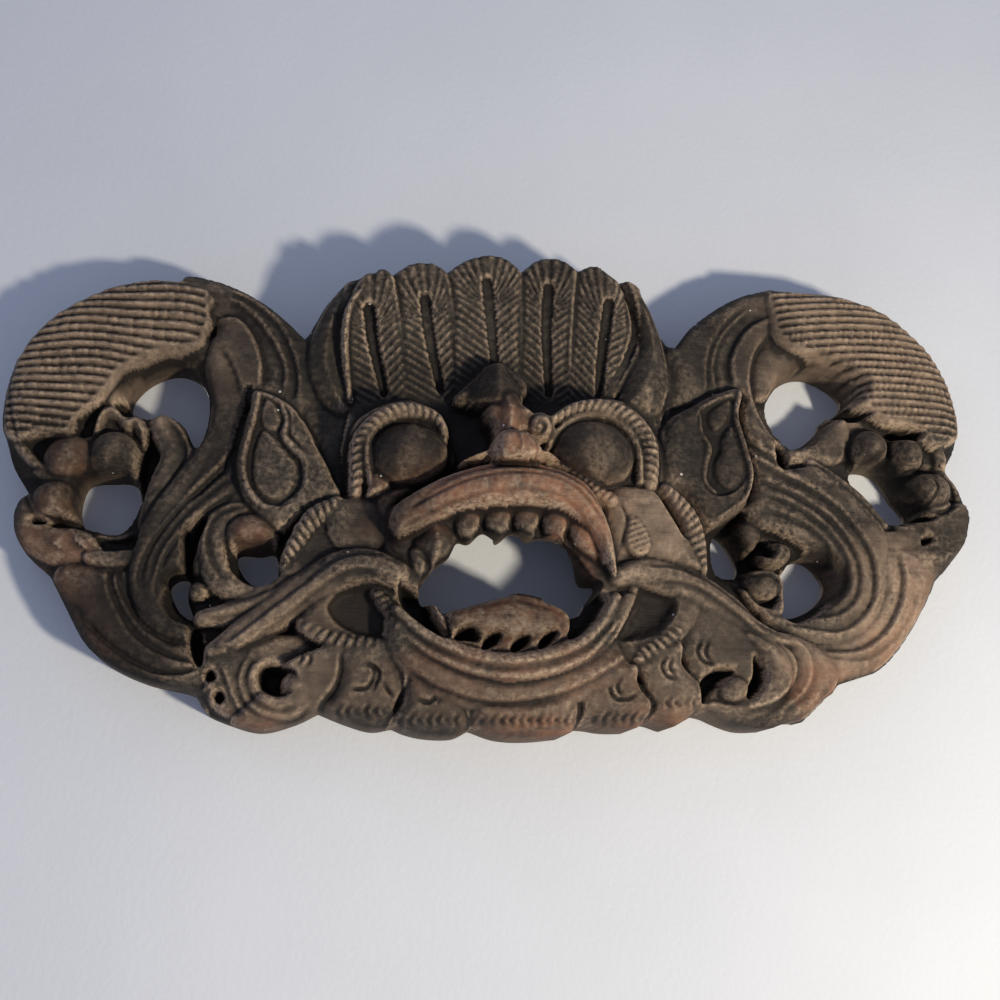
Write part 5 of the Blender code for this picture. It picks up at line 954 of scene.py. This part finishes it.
def panel_rings(step):
    """Outer ring and one ring for each opening, in layout units."""
    outer = np.vstack([curve(OUTLINE[name])[:-1] for name in OUTLINE])
    x, y = outer.T
    crest = np.clip((350 - y) / 40, 0, 1) * np.clip((x - 315) / 40, 0, 1) * np.clip((648 - x) / 40, 0, 1)
    rings = [resampled(carried(outer, RIM_HEIGHT + (CREST_RIM - RIM_HEIGHT) * crest, False), step)]
    for name in sorted(OPENINGS):
        loop = curve(OPENINGS[name], closed=True)
        if name == "mouth":
            ring = np.column_stack(spot(loop[:, 0], loop[:, 1], MOUTH_EDGE))
        else:
            ring = carried(loop, OPENING_EDGE, True)
        rings.append(resampled(ring, step))
    return rings


# Handling has worn the front edge round along the outline and more round the openings, and the foot of the
# chin rolls under. The lips of the mouth are kept as they were cut.
OUTLINE_ROUND = 7.0          # units over which the front is worn round at the outline
OUTLINE_FALL = 0.86          # share of its height left there
CHIN_ROUND = 13.0            # both again along the foot of the chin, which rolls under
CHIN_FALL = 0.62
OPENING_ROUND = 10.0         # both again at the openings of the wings
OPENING_FALL = 0.60
NARROW_ROUND = 4.0           # round of the narrow openings
NARROW_OPENINGS = ("left gap", "left slit", "right middle", "right slit")


def worn_edges(places, height, rings):
    """Heights brought down round the outline and, more, round the openings; the lips of the mouth stay."""
    out = height.copy()
    names = [None] + sorted(OPENINGS)
    for name, ring in zip(names, rings):
        if name == "mouth":
            continue
        reach, share = OPENING_ROUND, OPENING_FALL
        if name is None:
            reach, share = OUTLINE_ROUND, OUTLINE_FALL
            chin_top = spot(500, 690, RIM_HEIGHT)[1]
        elif name in NARROW_OPENINGS:
            reach = NARROW_ROUND
        tree = KDTree(len(ring))
        for i, (x, z) in enumerate(ring):
            tree.insert((x, z, 0), i)
        tree.balance()
        beside = (places[:, 0] > ring[:, 0].min() - reach) & (places[:, 0] < ring[:, 0].max() + reach)
        beside &= (places[:, 1] > ring[:, 1].min() - reach) & (places[:, 1] < ring[:, 1].max() + reach)
        for i in np.nonzero(beside)[0]:
            gap = tree.find((places[i, 0], places[i, 1], 0))[2]
            wide, left = (CHIN_ROUND, CHIN_FALL) if name is None and places[i, 1] < chin_top else (reach,
                                                                                                   share)
            if gap < wide:
                fall = 1 - math.sqrt(1 - (1 - gap / wide) ** 2)
                out[i] = min(out[i], height[i] * (1 - (1 - left) * fall))
    return out


# The carved surface is a closed skin of triangles, small where the carving is fine and larger where it is
# smooth. Steep steps are drawn into clean walls, and a slight unevenness stays from the gouge.
DETAIL_FINE = 0.55           # bend between places above which every place is kept
DETAIL_COARSE = 0.16         # bend above which every second place is kept
EASE_FROM = 1.0              # rise between neighbours that counts as a steep wall
WAVE_PITCHES = (61.0, 37.0, 23.0, 14.0, 9.0)
WAVE_DEPTH = 0.10


def plan_triangles(rings, step, detail):
    """Even triangles over the plan, whose edges keep to the rings."""
    outer = rings[0]
    xs = np.arange(outer[:, 0].min(), outer[:, 0].max(), step)
    zs = np.arange(outer[:, 1].min(), outer[:, 1].max(), step * math.sqrt(3) / 2)
    gx, gz = np.meshgrid(xs, zs)
    gx = gx + (np.arange(len(zs)) % 2)[:, None] * step / 2
    gx, gz = gx.ravel(), gz.ravel()
    keep = within(gx, gz, outer[:, 0], outer[:, 1])
    for ring in rings[1:]:
        keep &= ~within(gx, gz, ring[:, 0], ring[:, 1])
    if detail:
        keep &= detail(gx, gz, xs, zs)
    gx, gz = gx[keep], gz[keep]
    edge = np.vstack(rings)
    tree = KDTree(len(edge))
    for i, (x, z) in enumerate(edge):
        tree.insert((x, z, 0), i)
    tree.balance()
    clear = np.array([tree.find((x, z, 0))[2] > 0.62 * step for x, z in zip(gx, gz)])
    points = [Vector(p) for p in edge] + [Vector(p) for p in zip(gx[clear], gz[clear])]
    bounds, start = [], 0
    for ring in rings:
        ids = list(range(start, start + len(ring)))
        bounds.append(ids)
        start += len(ring)
    links = [(ids[i], ids[(i + 1) % len(ids)]) for ids in bounds for i in range(len(ids))]
    places, _, faces, *_ = delaunay_2d_cdt(points, links, [], 0, 1e-7)
    places = np.array([tuple(p) for p in places])
    faces = np.array(faces)
    middle = places[faces].mean(axis=1)
    held = within(middle[:, 0], middle[:, 1], outer[:, 0], outer[:, 1])
    for ring in rings[1:]:
        held &= ~within(middle[:, 0], middle[:, 1], ring[:, 0], ring[:, 1])
    faces = faces[held]
    a, b, c = places[faces[:, 0]], places[faces[:, 1]], places[faces[:, 2]]
    area = (b[:, 0] - a[:, 0]) * (c[:, 1] - a[:, 1]) - (b[:, 1] - a[:, 1]) * (c[:, 0] - a[:, 0])
    faces[area < 0] = faces[area < 0][:, ::-1]
    return places, faces


def detail_at(gx, gz, xs, zs):
    """Every place where the carving is fine, and ever fewer of them where it is smooth."""
    rows, columns = len(zs), len(xs)
    height = carve(gx, gz).h.reshape(rows, columns)
    bend = np.zeros_like(height)
    bend[1:-1, 1:-1] = np.abs(height[1:-1, 2:] + height[1:-1, :-2] + height[2:, 1:-1] + height[:-2,
            1:-1] - 4 * height[1:-1, 1:-1])
    wide = bend.copy()
    for axis in (0, 1):
        for step in (-1, 1):
            wide = np.maximum(wide, np.roll(bend, step, axis))
    row, column = np.indices(height.shape)
    half = (row % 2 == 0) & (column % 2 == 0)
    quarter = (row % 4 == 0) & (column % 4 == 0)
    keep = (wide > DETAIL_FINE) | (half & (wide > DETAIL_COARSE)) | quarter
    return keep.ravel()


def triangle_sides(faces):
    """Every side of the triangles once, as rows of two points."""
    sides = np.vstack([faces[:, [0, 1]], faces[:, [1, 2]], faces[:, [2, 0]]])
    return np.unique(np.sort(sides, axis=1), axis=0)


def boundary_links(faces):
    """Edges that belong to one triangle only, in that triangle's turning."""
    links = np.vstack([faces[:, [0, 1]], faces[:, [1, 2]], faces[:, [2, 0]]])
    known = {(a, b) for a, b in links.tolist()}
    return [(a, b) for a, b in links.tolist() if (b, a) not in known]


def eased(places, height, faces, passes):
    """Steep steps drawn into clean walls: each of their points moves towards its neighbours."""
    links = triangle_sides(faces)
    rim = np.zeros(len(places), bool)
    rim[np.array(boundary_links(faces)).ravel()] = True
    a, b = links.T
    count = np.bincount(a, minlength=len(places)) + np.bincount(b, minlength=len(places))
    for _ in range(passes):
        rise = np.abs(height[a] - height[b])
        steep = np.zeros(len(places))
        np.maximum.at(steep, a, rise)
        np.maximum.at(steep, b, rise)
        share = np.clip((steep - EASE_FROM) / EASE_FROM, 0, 1) * 0.5
        moved = []
        for values in (places[:, 0], places[:, 1], height):
            mean = (np.bincount(a, values[b], len(places)) + np.bincount(b, values[a], len(places))) / count
            moved.append(values + share * (mean - values) * (1 if values is height else ~rim))
        places, height = np.column_stack(moved[:2]), moved[2]
    return places, height


def hand_work(x, z, height):
    """Small unevenness that the gouge and long wear leave, in layout heights."""
    wave = np.zeros(len(x))
    for i, pitch in enumerate(WAVE_PITCHES):
        turn = 0.7 + 1.9 * i
        across = x * math.cos(turn) + z * math.sin(turn)
        along = z * math.cos(turn) - x * math.sin(turn)
        sway = 1.7 * np.sin(along * 2 * math.pi / (1.6 * pitch) + i)
        wave += WAVE_DEPTH * np.sin(across * 2 * math.pi / pitch + sway)
    return height + wave


# Smoke, dust and hands have coloured the wood: the edges are rubbed pale, and lip, nose and feet worn down
# to a redder brown. The hollows are painted dark, partly as soot and partly as painted shade, and the dark
# ovals add darker wood and painted shadow, as on the forehead boss under the nose. All of these are soft
# ovals (x, y, across, up, height, strength) of the sheet.
RED_WOOD = [(500, 480, 120, 26, 75, 1.0), (585, 520, 30, 45, 70, 0.9), (412, 520, 32, 22, 65, 0.7),
            (520, 445, 42, 22, 80, 0.9), (508, 410, 30, 20, 70, 0.7), (515, 620, 62, 26, 56, 0.9),
            (520, 672, 120, 26, 60, 0.45), (530, 730, 60, 12, 40, 0.8), (820, 690, 40, 26, 34, 0.8),
            (900, 655, 40, 30, 34, 0.7), (915, 590, 16, 40, 34, 0.5), (660, 720, 60, 14, 40, 0.6),
            (50, 560, 40, 46, 32, 0.55), (80, 640, 40, 30, 30, 0.5), (240, 725, 40, 12, 34, 0.6),
            (69, 457, 20, 20, 36, 0.7), (56, 500, 18, 16, 36, 0.6), (250, 533, 20, 16, 40, 0.5)]
WARM_WOOD = [(110, 350, 130, 80, 42, 0.8), (860, 350, 110, 90, 42, 1.0), (895, 610, 40, 70, 37, 1.0),
             (820, 660, 60, 26, 37, 0.8), (890, 600, 50, 70, 37, 1.0), (690, 600, 90, 30, 50, 0.35),
             (650, 520, 50, 50, 54, 0.9), (520, 690, 160, 30, 52, 0.4), (290, 610, 90, 30, 48, 0.6),
             (700, 690, 60, 40, 44, 0.35), (300, 690, 60, 40, 44, 0.5), (590, 415, 60, 24, 62, 0.5),
             (380, 415, 40, 20, 62, 0.4)]
# Darker wood, and painted shade where shadow falls: on the forehead boss under the nose and at the foot of
# the crest.
DARK_WOOD_AND_PAINTED_SHADE = [(215, 440, 40, 90, 36, 0.7), (160, 560, 44, 60, 36, 0.8), (120, 630, 70, 60, 37, 0.9),
             (235, 340, 40, 46, 37, 0.45), (405, 450, 44, 34, 60, 0.8), (600, 450, 40, 34, 60, 0.75),
             (700, 350, 40, 50, 37, 0.5), (710, 450, 46, 66, 45, 0.7), (840, 560, 50, 60, 37, 0.45),
             (740, 550, 40, 50, 30, 0.7), (360, 610, 40, 30, 45, 0.6), (90, 460, 70, 50, 34, 0.5),
             (480, 385, 150, 26, 44, 0.6), (560, 330, 60, 70, 50, 0.35), (430, 700, 120, 30, 50, 0.35),
             (650, 330, 24, 60, 48, 0.4), (400, 530, 30, 40, 50, 0.6), (650, 610, 30, 30, 46, 0.5),
             (492, 384, 38, 28, 58, 0.9), (470, 430, 22, 26, 50, 0.8), (872, 448, 26, 26, 42, 0.6),
             (908, 452, 22, 22, 41, 0.6), (926, 492, 30, 26, 41, 0.7), (922, 530, 26, 18, 33, 0.6),
             (60, 480, 60, 46, 36, 0.5), (115, 455, 30, 32, 40, 0.5), (720, 655, 40, 40, 44, 0.4),
             (360, 680, 36, 26, 44, 0.35), (620, 700, 40, 24, 46, 0.4), (430, 690, 34, 26, 46, 0.4),
             (800, 530, 60, 50, 37, 0.35), (760, 340, 40, 40, 37, 0.5), (300, 350, 40, 50, 37, 0.4),
             (515, 622, 60, 24, 58, 0.6), (715, 598, 70, 26, 48, 0.35), (280, 604, 60, 26, 46, 0.3)]
WORN_PATCHES = [(600, 452, 20, 14, 66, 0.6), (500, 372, 22, 18, 66, 0.8), (455, 420, 16, 12, 60, 0.5),
                (930, 490, 24, 18, 36, 0.6), (740, 530, 20, 30, 30, 0.4), (800, 455, 20, 12, 30, 0.8),
                (895, 600, 34, 50, 36, 0.5)]
OVAL_SPREAD = 30
SOFT_PASSES, CLOSE_PASSES, NEAR_PASSES, WIDE_PASSES = 1, 4, 8, 160
BACK_PATINA_AND_SHADE = [0.0, 0.12, 0.0, 0.35]


def smoothed(values, links, passes):
    """Values spread over their neighbours again and again."""
    a, b = links.T
    count = np.bincount(a, minlength=len(values)) + np.bincount(b, minlength=len(values))
    out = values.copy()
    for _ in range(passes):
        total = np.bincount(a, out[b], len(out)) + np.bincount(b, out[a], len(out))
        out = 0.5 * out + 0.5 * total / count
    return out


def marked(x, z, places):
    """How strongly each plan place lies in one of the soft-edged ovals."""
    out = np.zeros(len(x))
    for px, py, across, up, height, strength in places:
        cx, cz = spot(px, py, height)
        q = ((x - cx) / across) ** 2 + ((z - cz) / up) ** 2
        out = np.maximum(out, strength * np.clip(1.6 - 1.2 * q, 0, 1))
    return out


def store_patina_and_shade(data, places, height, faces, extra):
    """Colour attribute of patina and painted shade: how sunk (soot and painted shade), how worn, how red
    and how warm each point is.
    """
    links = triangle_sides(faces)
    soft = smoothed(height, links, SOFT_PASSES)
    close = smoothed(height, links, CLOSE_PASSES)
    near = smoothed(close, links, NEAR_PASSES)
    wide = smoothed(near, links, WIDE_PASSES)
    # Painted shade: deep and narrow hollows are marked to darken towards soot-black, partly soot, partly
    # shade.
    sunk = np.clip((wide - height) / 13, 0, 1) * 0.7 + np.clip((near - height) / 2.2, 0, 1) * 0.55
    sunk += np.clip((close - soft) / 0.7, 0, 1) * 0.45
    worn = np.clip((soft - close - 0.07) / 0.38, 0, 1) * 0.75
    worn += np.clip((height - near - 0.5) / 1.4, 0, 1) * 0.2
    worn += np.clip((height - wide) / 14, 0, 1) * 0.12
    x, z = places.T
    # The dark ovals add darker wood and painted shadow to the hollows' darkening.
    sunk = np.clip(sunk, 0, 1) + 0.75 * smoothed(marked(x, z, DARK_WOOD_AND_PAINTED_SHADE), links, OVAL_SPREAD)
    red = smoothed(marked(x, z, RED_WOOD), links, OVAL_SPREAD)
    warm = smoothed(marked(x, z, WARM_WOOD), links, OVAL_SPREAD)
    bare = marked(x, z, WORN_PATCHES)
    rows = np.column_stack([np.clip(sunk, 0, 1), np.clip(worn + bare * 0.6, 0, 1), red, warm])
    rows = np.vstack([rows, np.tile(BACK_PATINA_AND_SHADE, (extra, 1))])
    patina_and_shade = data.color_attributes.new("patina_and_shade", "FLOAT_COLOR", "POINT")
    patina_and_shade.data.foreach_set("color", rows.astype(np.float32).ravel())


# The wood itself is a dense dark hardwood, with grain along the width, dust that has settled in its pores,
# soot and painted shade in the hollows and a few specks of old paint. It has no varnish and hardly shines.
DARK_GRAIN = (0.014, 0.0118, 0.0098, 1)
PALE_GRAIN = (0.052, 0.042, 0.033, 1)
SMOKED = (0.024, 0.020, 0.016, 1)
WARM_BROWN = (0.245, 0.172, 0.120, 1)
RED_BROWN = (0.235, 0.105, 0.058, 1)
DUST = (0.200, 0.158, 0.118, 1)
RUBBED = (0.370, 0.270, 0.188, 1)
DARK_FIBRE = (0.030, 0.022, 0.017, 1)
# Near black for soot and painted shade in the hollows and in the dark ovals.
SOOT_AND_PAINTED_SHADE = (0.010, 0.008, 0.007, 1)
OLD_PAINT = (0.55, 0.53, 0.49, 1)
GRAIN_STRETCH = (9.0, 210.0, 210.0)
FIBRE_STRETCH = (60.0, 900.0, 900.0)
SPECK_SCALE = 130.0
WOOD_SPECULAR = 0.16


class Nodes:
    """Short hand for the nodes of one material."""

    def __init__(self, name):
        self.material = bpy.data.materials.new(name)
        self.material.use_nodes = True
        self.tree = self.material.node_tree
        self.shader = self.tree.nodes["Principled BSDF"]

    def add(self, kind, inputs=(), **settings):
        node = self.tree.nodes.new(kind)
        for key, value in settings.items():
            setattr(node, key, value)
        for key, value in dict(inputs).items():
            if isinstance(value, bpy.types.NodeSocket):
                self.tree.links.new(value, node.inputs[key])
            else:
                node.inputs[key].default_value = value
        return node

    def link(self, source, socket):
        self.tree.links.new(source, socket)

    def noise(self, vector, scale, detail=4.0, rough=0.55):
        inputs = {"Vector": vector, "Scale": scale, "Detail": detail, "Roughness": rough}
        return self.add("ShaderNodeTexNoise", inputs).outputs["Fac"]

    def ramp(self, value, low, high):
        """Value carried from low..high to 0..1."""
        node = self.add("ShaderNodeMapRange", {"Value": value, "From Min": low, "From Max": high})
        return node.outputs["Result"]

    def sums(self, operation, a, b):
        return self.add("ShaderNodeMath", {0: a, 1: b}, operation=operation).outputs[0]

    def mix(self, share, a, b, blend="MIX"):
        node = self.add("ShaderNodeMix", {"Factor": share}, data_type="RGBA", blend_type=blend)
        for key, value in (("A", a), ("B", b)):
            socket = next(s for s in node.inputs if s.name == key and s.type == "RGBA")
            if isinstance(value, bpy.types.NodeSocket):
                self.tree.links.new(value, socket)
            else:
                socket.default_value = value
        return next(s for s in node.outputs if s.type == "RGBA")


def old_wood():
    """Old hardwood whose colour follows its grain, the patina and painted shade of each point, and fine
    grime.
    """
    n = Nodes("carved_wood_patina_and_shade")
    place = n.add("ShaderNodeTexCoord").outputs["Object"]
    values = n.add("ShaderNodeAttribute", attribute_name="patina_and_shade")
    patina_and_shade = n.add("ShaderNodeSeparateColor", {"Color": values.outputs["Color"]})
    sunk, worn, red = (patina_and_shade.outputs[key] for key in ("Red", "Green", "Blue"))
    warm = values.outputs["Alpha"]
    along_grain = n.add("ShaderNodeMapping", {"Vector": place, "Scale": GRAIN_STRETCH})
    grain = n.noise(along_grain.outputs["Vector"], 1.0, 6.0, 0.6)
    along_fibre = n.add("ShaderNodeMapping", {"Vector": place, "Scale": FIBRE_STRETCH})
    fibre = n.noise(along_fibre.outputs["Vector"], 1.0, 3.0, 0.6)
    cloud = n.noise(place, 26.0, 5.0, 0.6)
    blotch = n.noise(place, 90.0, 4.0, 0.65)
    grime = n.noise(place, 420.0, 3.0, 0.6)
    grit = n.noise(place, 1150.0, 2.0, 0.6)
    colour = n.mix(n.ramp(grain, 0.35, 0.68), DARK_GRAIN, PALE_GRAIN)
    colour = n.mix(n.sums("MULTIPLY", n.ramp(cloud, 0.40, 0.7), 0.45), colour, SMOKED)
    warm_share = n.sums("MULTIPLY", warm, n.ramp(blotch, 0.15, 0.65))
    colour = n.mix(n.sums("MULTIPLY", warm_share, 0.90), colour, WARM_BROWN)
    red_share = n.sums("MULTIPLY", red, n.ramp(blotch, 0.28, 0.62))
    colour = n.mix(n.sums("MULTIPLY", red_share, 0.9), colour, RED_BROWN)
    dust_share = n.sums("MULTIPLY", n.ramp(grime, 0.42, 0.70), n.ramp(cloud, 0.42, 0.65))
    dust_share = n.sums("ADD", dust_share, n.sums("MULTIPLY", n.ramp(grit, 0.55, 0.75), 0.30))
    colour = n.mix(n.sums("MULTIPLY", dust_share, 0.45), colour, DUST)
    worn_share = n.sums("MULTIPLY", worn, n.ramp(grime, 0.30, 0.62))
    colour = n.mix(worn_share, colour, RUBBED)
    streak = n.sums("MULTIPLY", n.ramp(fibre, 0.55, 0.75), 0.35)
    colour = n.mix(streak, colour, DARK_FIBRE)
    # Painted shade: hollows and dark ovals are darkened towards near black.
    depth = n.sums("MULTIPLY", n.ramp(sunk, 0.05, 0.75), 0.92)
    colour = n.mix(depth, colour, SOOT_AND_PAINTED_SHADE)
    specks = n.add("ShaderNodeTexVoronoi", {"Vector": place, "Scale": SPECK_SCALE, "Randomness": 1.0})
    lot = n.add("ShaderNodeSeparateColor", {"Color": specks.outputs["Color"]}).outputs["Red"]
    chosen = n.sums("GREATER_THAN", lot, 0.93)
    ragged = n.sums("ADD", specks.outputs["Distance"], n.sums("MULTIPLY", grime, 0.12))
    small = n.sums("LESS_THAN", ragged, 0.145)
    speck_share = n.sums("MULTIPLY", n.sums("MULTIPLY", chosen, small), 0.85)
    colour = n.mix(speck_share, colour, OLD_PAINT)
    n.link(colour, n.shader.inputs["Base Color"])
    rough = n.sums("ADD", n.sums("MULTIPLY", blotch, 0.35), 0.52)
    rough = n.sums("ADD", rough, n.sums("MULTIPLY", red, -0.10))
    n.link(rough, n.shader.inputs["Roughness"])
    n.shader.inputs["Specular IOR Level"].default_value = WOOD_SPECULAR
    relief = n.sums("ADD", n.sums("MULTIPLY", grain, 0.5), n.sums("MULTIPLY", fibre, 0.35))
    relief = n.sums("ADD", relief, n.sums("MULTIPLY", blotch, 0.35))
    relief = n.sums("ADD", relief, n.sums("MULTIPLY", grime, 0.32))
    bump = n.add("ShaderNodeBump", {"Height": relief, "Strength": 0.65, "Distance": 0.0012})
    n.link(bump.outputs["Normal"], n.shader.inputs["Normal"])
    return n.material


# The finished panel has the carved front, a flat back and the walls between. It takes the place of the
# plain solid, is fixed by its back and has no part that moves.
FINE_STEP = 1.86             # units between plan places where the carving is fine
BACK_STEP = 12.0             # units between plan places of the flat back
EASE_PASSES = 3
LIFT = 0.001                 # metres in one layout height
HANGING_POINT = (487, 400)   # place of the flat on the back that meets the wall

rings = panel_rings(FINE_STEP)
unit = (panel_high[0] - panel_low[0]) / np.ptp(rings[0][:, 0])
hang_x, hang_z = spot(*HANGING_POINT, 0)


def panel_surface(name):
    """Closed mesh: the carved front with its values of patina and painted shade, the flat back and the
    walls between.
    """
    places, faces = plan_triangles(rings, FINE_STEP, detail_at)
    relief = carve(places[:, 0].copy(), places[:, 1].copy())
    surface = hand_work(places[:, 0], places[:, 1], relief.h)
    eased_places, height = eased(places, worn_edges(places, surface, rings), faces, EASE_PASSES)
    back_places, back_faces = plan_triangles(rings, BACK_STEP, None)
    back_relief = carve(back_places[:, 0].copy(), back_places[:, 1].copy())
    shift = np.array([hang_x, hang_z])
    front = (eased_places - shift) * unit
    back = (back_places - shift) * unit
    front = np.column_stack([front[:, 0], -height * LIFT, front[:, 1]])
    back = np.column_stack([back[:, 0], -back_relief.back * LIFT, back[:, 1]])
    count = len(front)
    known = {(round(x, 3), round(z, 3)): count + i for i, (x, z) in enumerate(back_places.tolist())}
    rim_links = boundary_links(faces)
    rim = np.unique(np.array(rim_links).ravel())
    edge_of = {i: known[(round(places[i, 0], 3), round(places[i, 1], 3))] for i in rim}
    shapes = [tuple(face) for face in faces.tolist()]
    shapes += [(c + count, b + count, a + count) for a, b, c in back_faces.tolist()]
    shapes += [(b, a, edge_of[a], edge_of[b]) for a, b in rim_links]
    data = bpy.data.meshes.new(name)
    data.from_pydata(np.vstack([front, back]).tolist(), [], shapes)
    data.update()
    data.shade_smooth()
    data.set_sharp_from_angle(angle=math.radians(62))
    store_patina_and_shade(data, eased_places, surface, faces, len(back))
    return data


panel = bpy.data.objects.new("carved_panel", panel_surface("carved_panel"))
bpy.context.scene.collection.objects.link(panel)
panel.data.materials.append(old_wood())
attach(panel, "root")
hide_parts("kirtimukha_panel")


# The panel hangs flat on a pale painted board, which is only a backdrop and is seen from its front alone.
# It lets the light from behind through to the panel's back.
BOARD_SIZE = 3.2
BOARD_GAP = 0.0015
BOARD_DARK = (0.52, 0.54, 0.58, 1)
BOARD_LIGHT = (0.59, 0.61, 0.65, 1)


def pale_board():
    """Matt pale paint with a faint weave, clear to rays from behind."""
    n = Nodes("pale_board")
    place = n.add("ShaderNodeTexCoord").outputs["Object"]
    cloud = n.noise(place, 3.0, 5.0, 0.55)
    weave = n.noise(place, 260.0, 3.0, 0.6)
    colour = n.mix(n.ramp(cloud, 0.3, 0.7), BOARD_DARK, BOARD_LIGHT)
    n.link(colour, n.shader.inputs["Base Color"])
    n.shader.inputs["Roughness"].default_value = 0.85
    uneven = n.sums("ADD", n.sums("MULTIPLY", cloud, 6.0), weave)
    bump = n.add("ShaderNodeBump", {"Height": uneven, "Strength": 0.25, "Distance": 0.001})
    n.link(bump.outputs["Normal"], n.shader.inputs["Normal"])
    clear = n.add("ShaderNodeBsdfTransparent")
    behind = n.add("ShaderNodeNewGeometry").outputs["Backfacing"]
    ray = n.add("ShaderNodeLightPath")
    close = n.sums("LESS_THAN", ray.outputs["Ray Length"], 4 * BOARD_GAP)
    from_back = n.sums("MULTIPLY", ray.outputs["Is Shadow Ray"], close)
    out = n.tree.nodes["Material Output"]
    join = n.add("ShaderNodeMixShader", {0: n.sums("MAXIMUM", behind, from_back)})
    n.link(n.shader.outputs[0], join.inputs[1])
    n.link(clear.outputs[0], join.inputs[2])
    n.link(join.outputs[0], out.inputs["Surface"])
    return n.material


half = BOARD_SIZE / 2
board_mesh = bpy.data.meshes.new("board")
corners = [(-half, 0, -half), (half, 0, -half), (half, 0, half), (-half, 0, half)]
board_mesh.from_pydata(corners, [], [(0, 1, 2, 3)])
board_mesh.materials.append(pale_board())
board = bpy.data.objects.new("board", board_mesh)
board.location = (0, BOARD_GAP, 0)
bpy.context.scene.collection.objects.link(board)


# One warm lamp from the lower right, as in the photograph, a cool fill, and a lamp that shows the back.
# Each has its place from the middle of the sheet in metres, its power, its size and its colour.
LAMPS = {
    "key": ((0.60, -0.86, -0.50), 14.0, 0.09, (1.0, 0.90, 0.71)),
    "fill": ((-0.9, -1.1, 0.9), 1.2, 1.2, (0.66, 0.80, 1.0)),
    "behind": ((-0.8, 1.4, 0.6), 14, 0.8, (1.0, 0.97, 0.94)),
}
SKY_COLOUR = (0.66, 0.74, 1.0, 1)
SKY_STRENGTH = 0.50

middle = Vector((-hang_x * unit, 0, -hang_z * unit))
for name, (place, power, size, colour) in LAMPS.items():
    light = bpy.data.lights.new(name, "AREA")
    light.energy, light.size, light.color = power, size, colour
    lamp = bpy.data.objects.new(name, light)
    lamp.location = middle + Vector(place)
    lamp.rotation_euler = Vector(place).to_track_quat("Z", "Y").to_euler()
    bpy.context.scene.collection.objects.link(lamp)
world = bpy.data.worlds.new("sky")
world.use_nodes = True
world.node_tree.nodes["Background"].inputs["Color"].default_value = SKY_COLOUR
world.node_tree.nodes["Background"].inputs["Strength"].default_value = SKY_STRENGTH
bpy.context.scene.world = world
bpy.context.scene.view_settings.view_transform = "Standard"


# The camera stands low on the panel's left, where the sheet is seen square on and fills the picture.
SENSOR_WIDTH = 36.0
SHEET_WIDTH = 1000

lens = bpy.data.cameras.new("camera")
lens.sensor_width = SENSOR_WIDTH
lens.lens = lens.sensor_width * SIGHT_DISTANCE / SHEET_WIDTH
eye = bpy.data.objects.new("camera", lens)
towards_eye = Vector(sight_axes()[0])
eye.location = middle + towards_eye * SIGHT_DISTANCE * unit
eye.rotation_euler = towards_eye.to_track_quat("Z", "Y").to_euler()
bpy.context.scene.collection.objects.link(eye)
bpy.context.scene.camera = eye
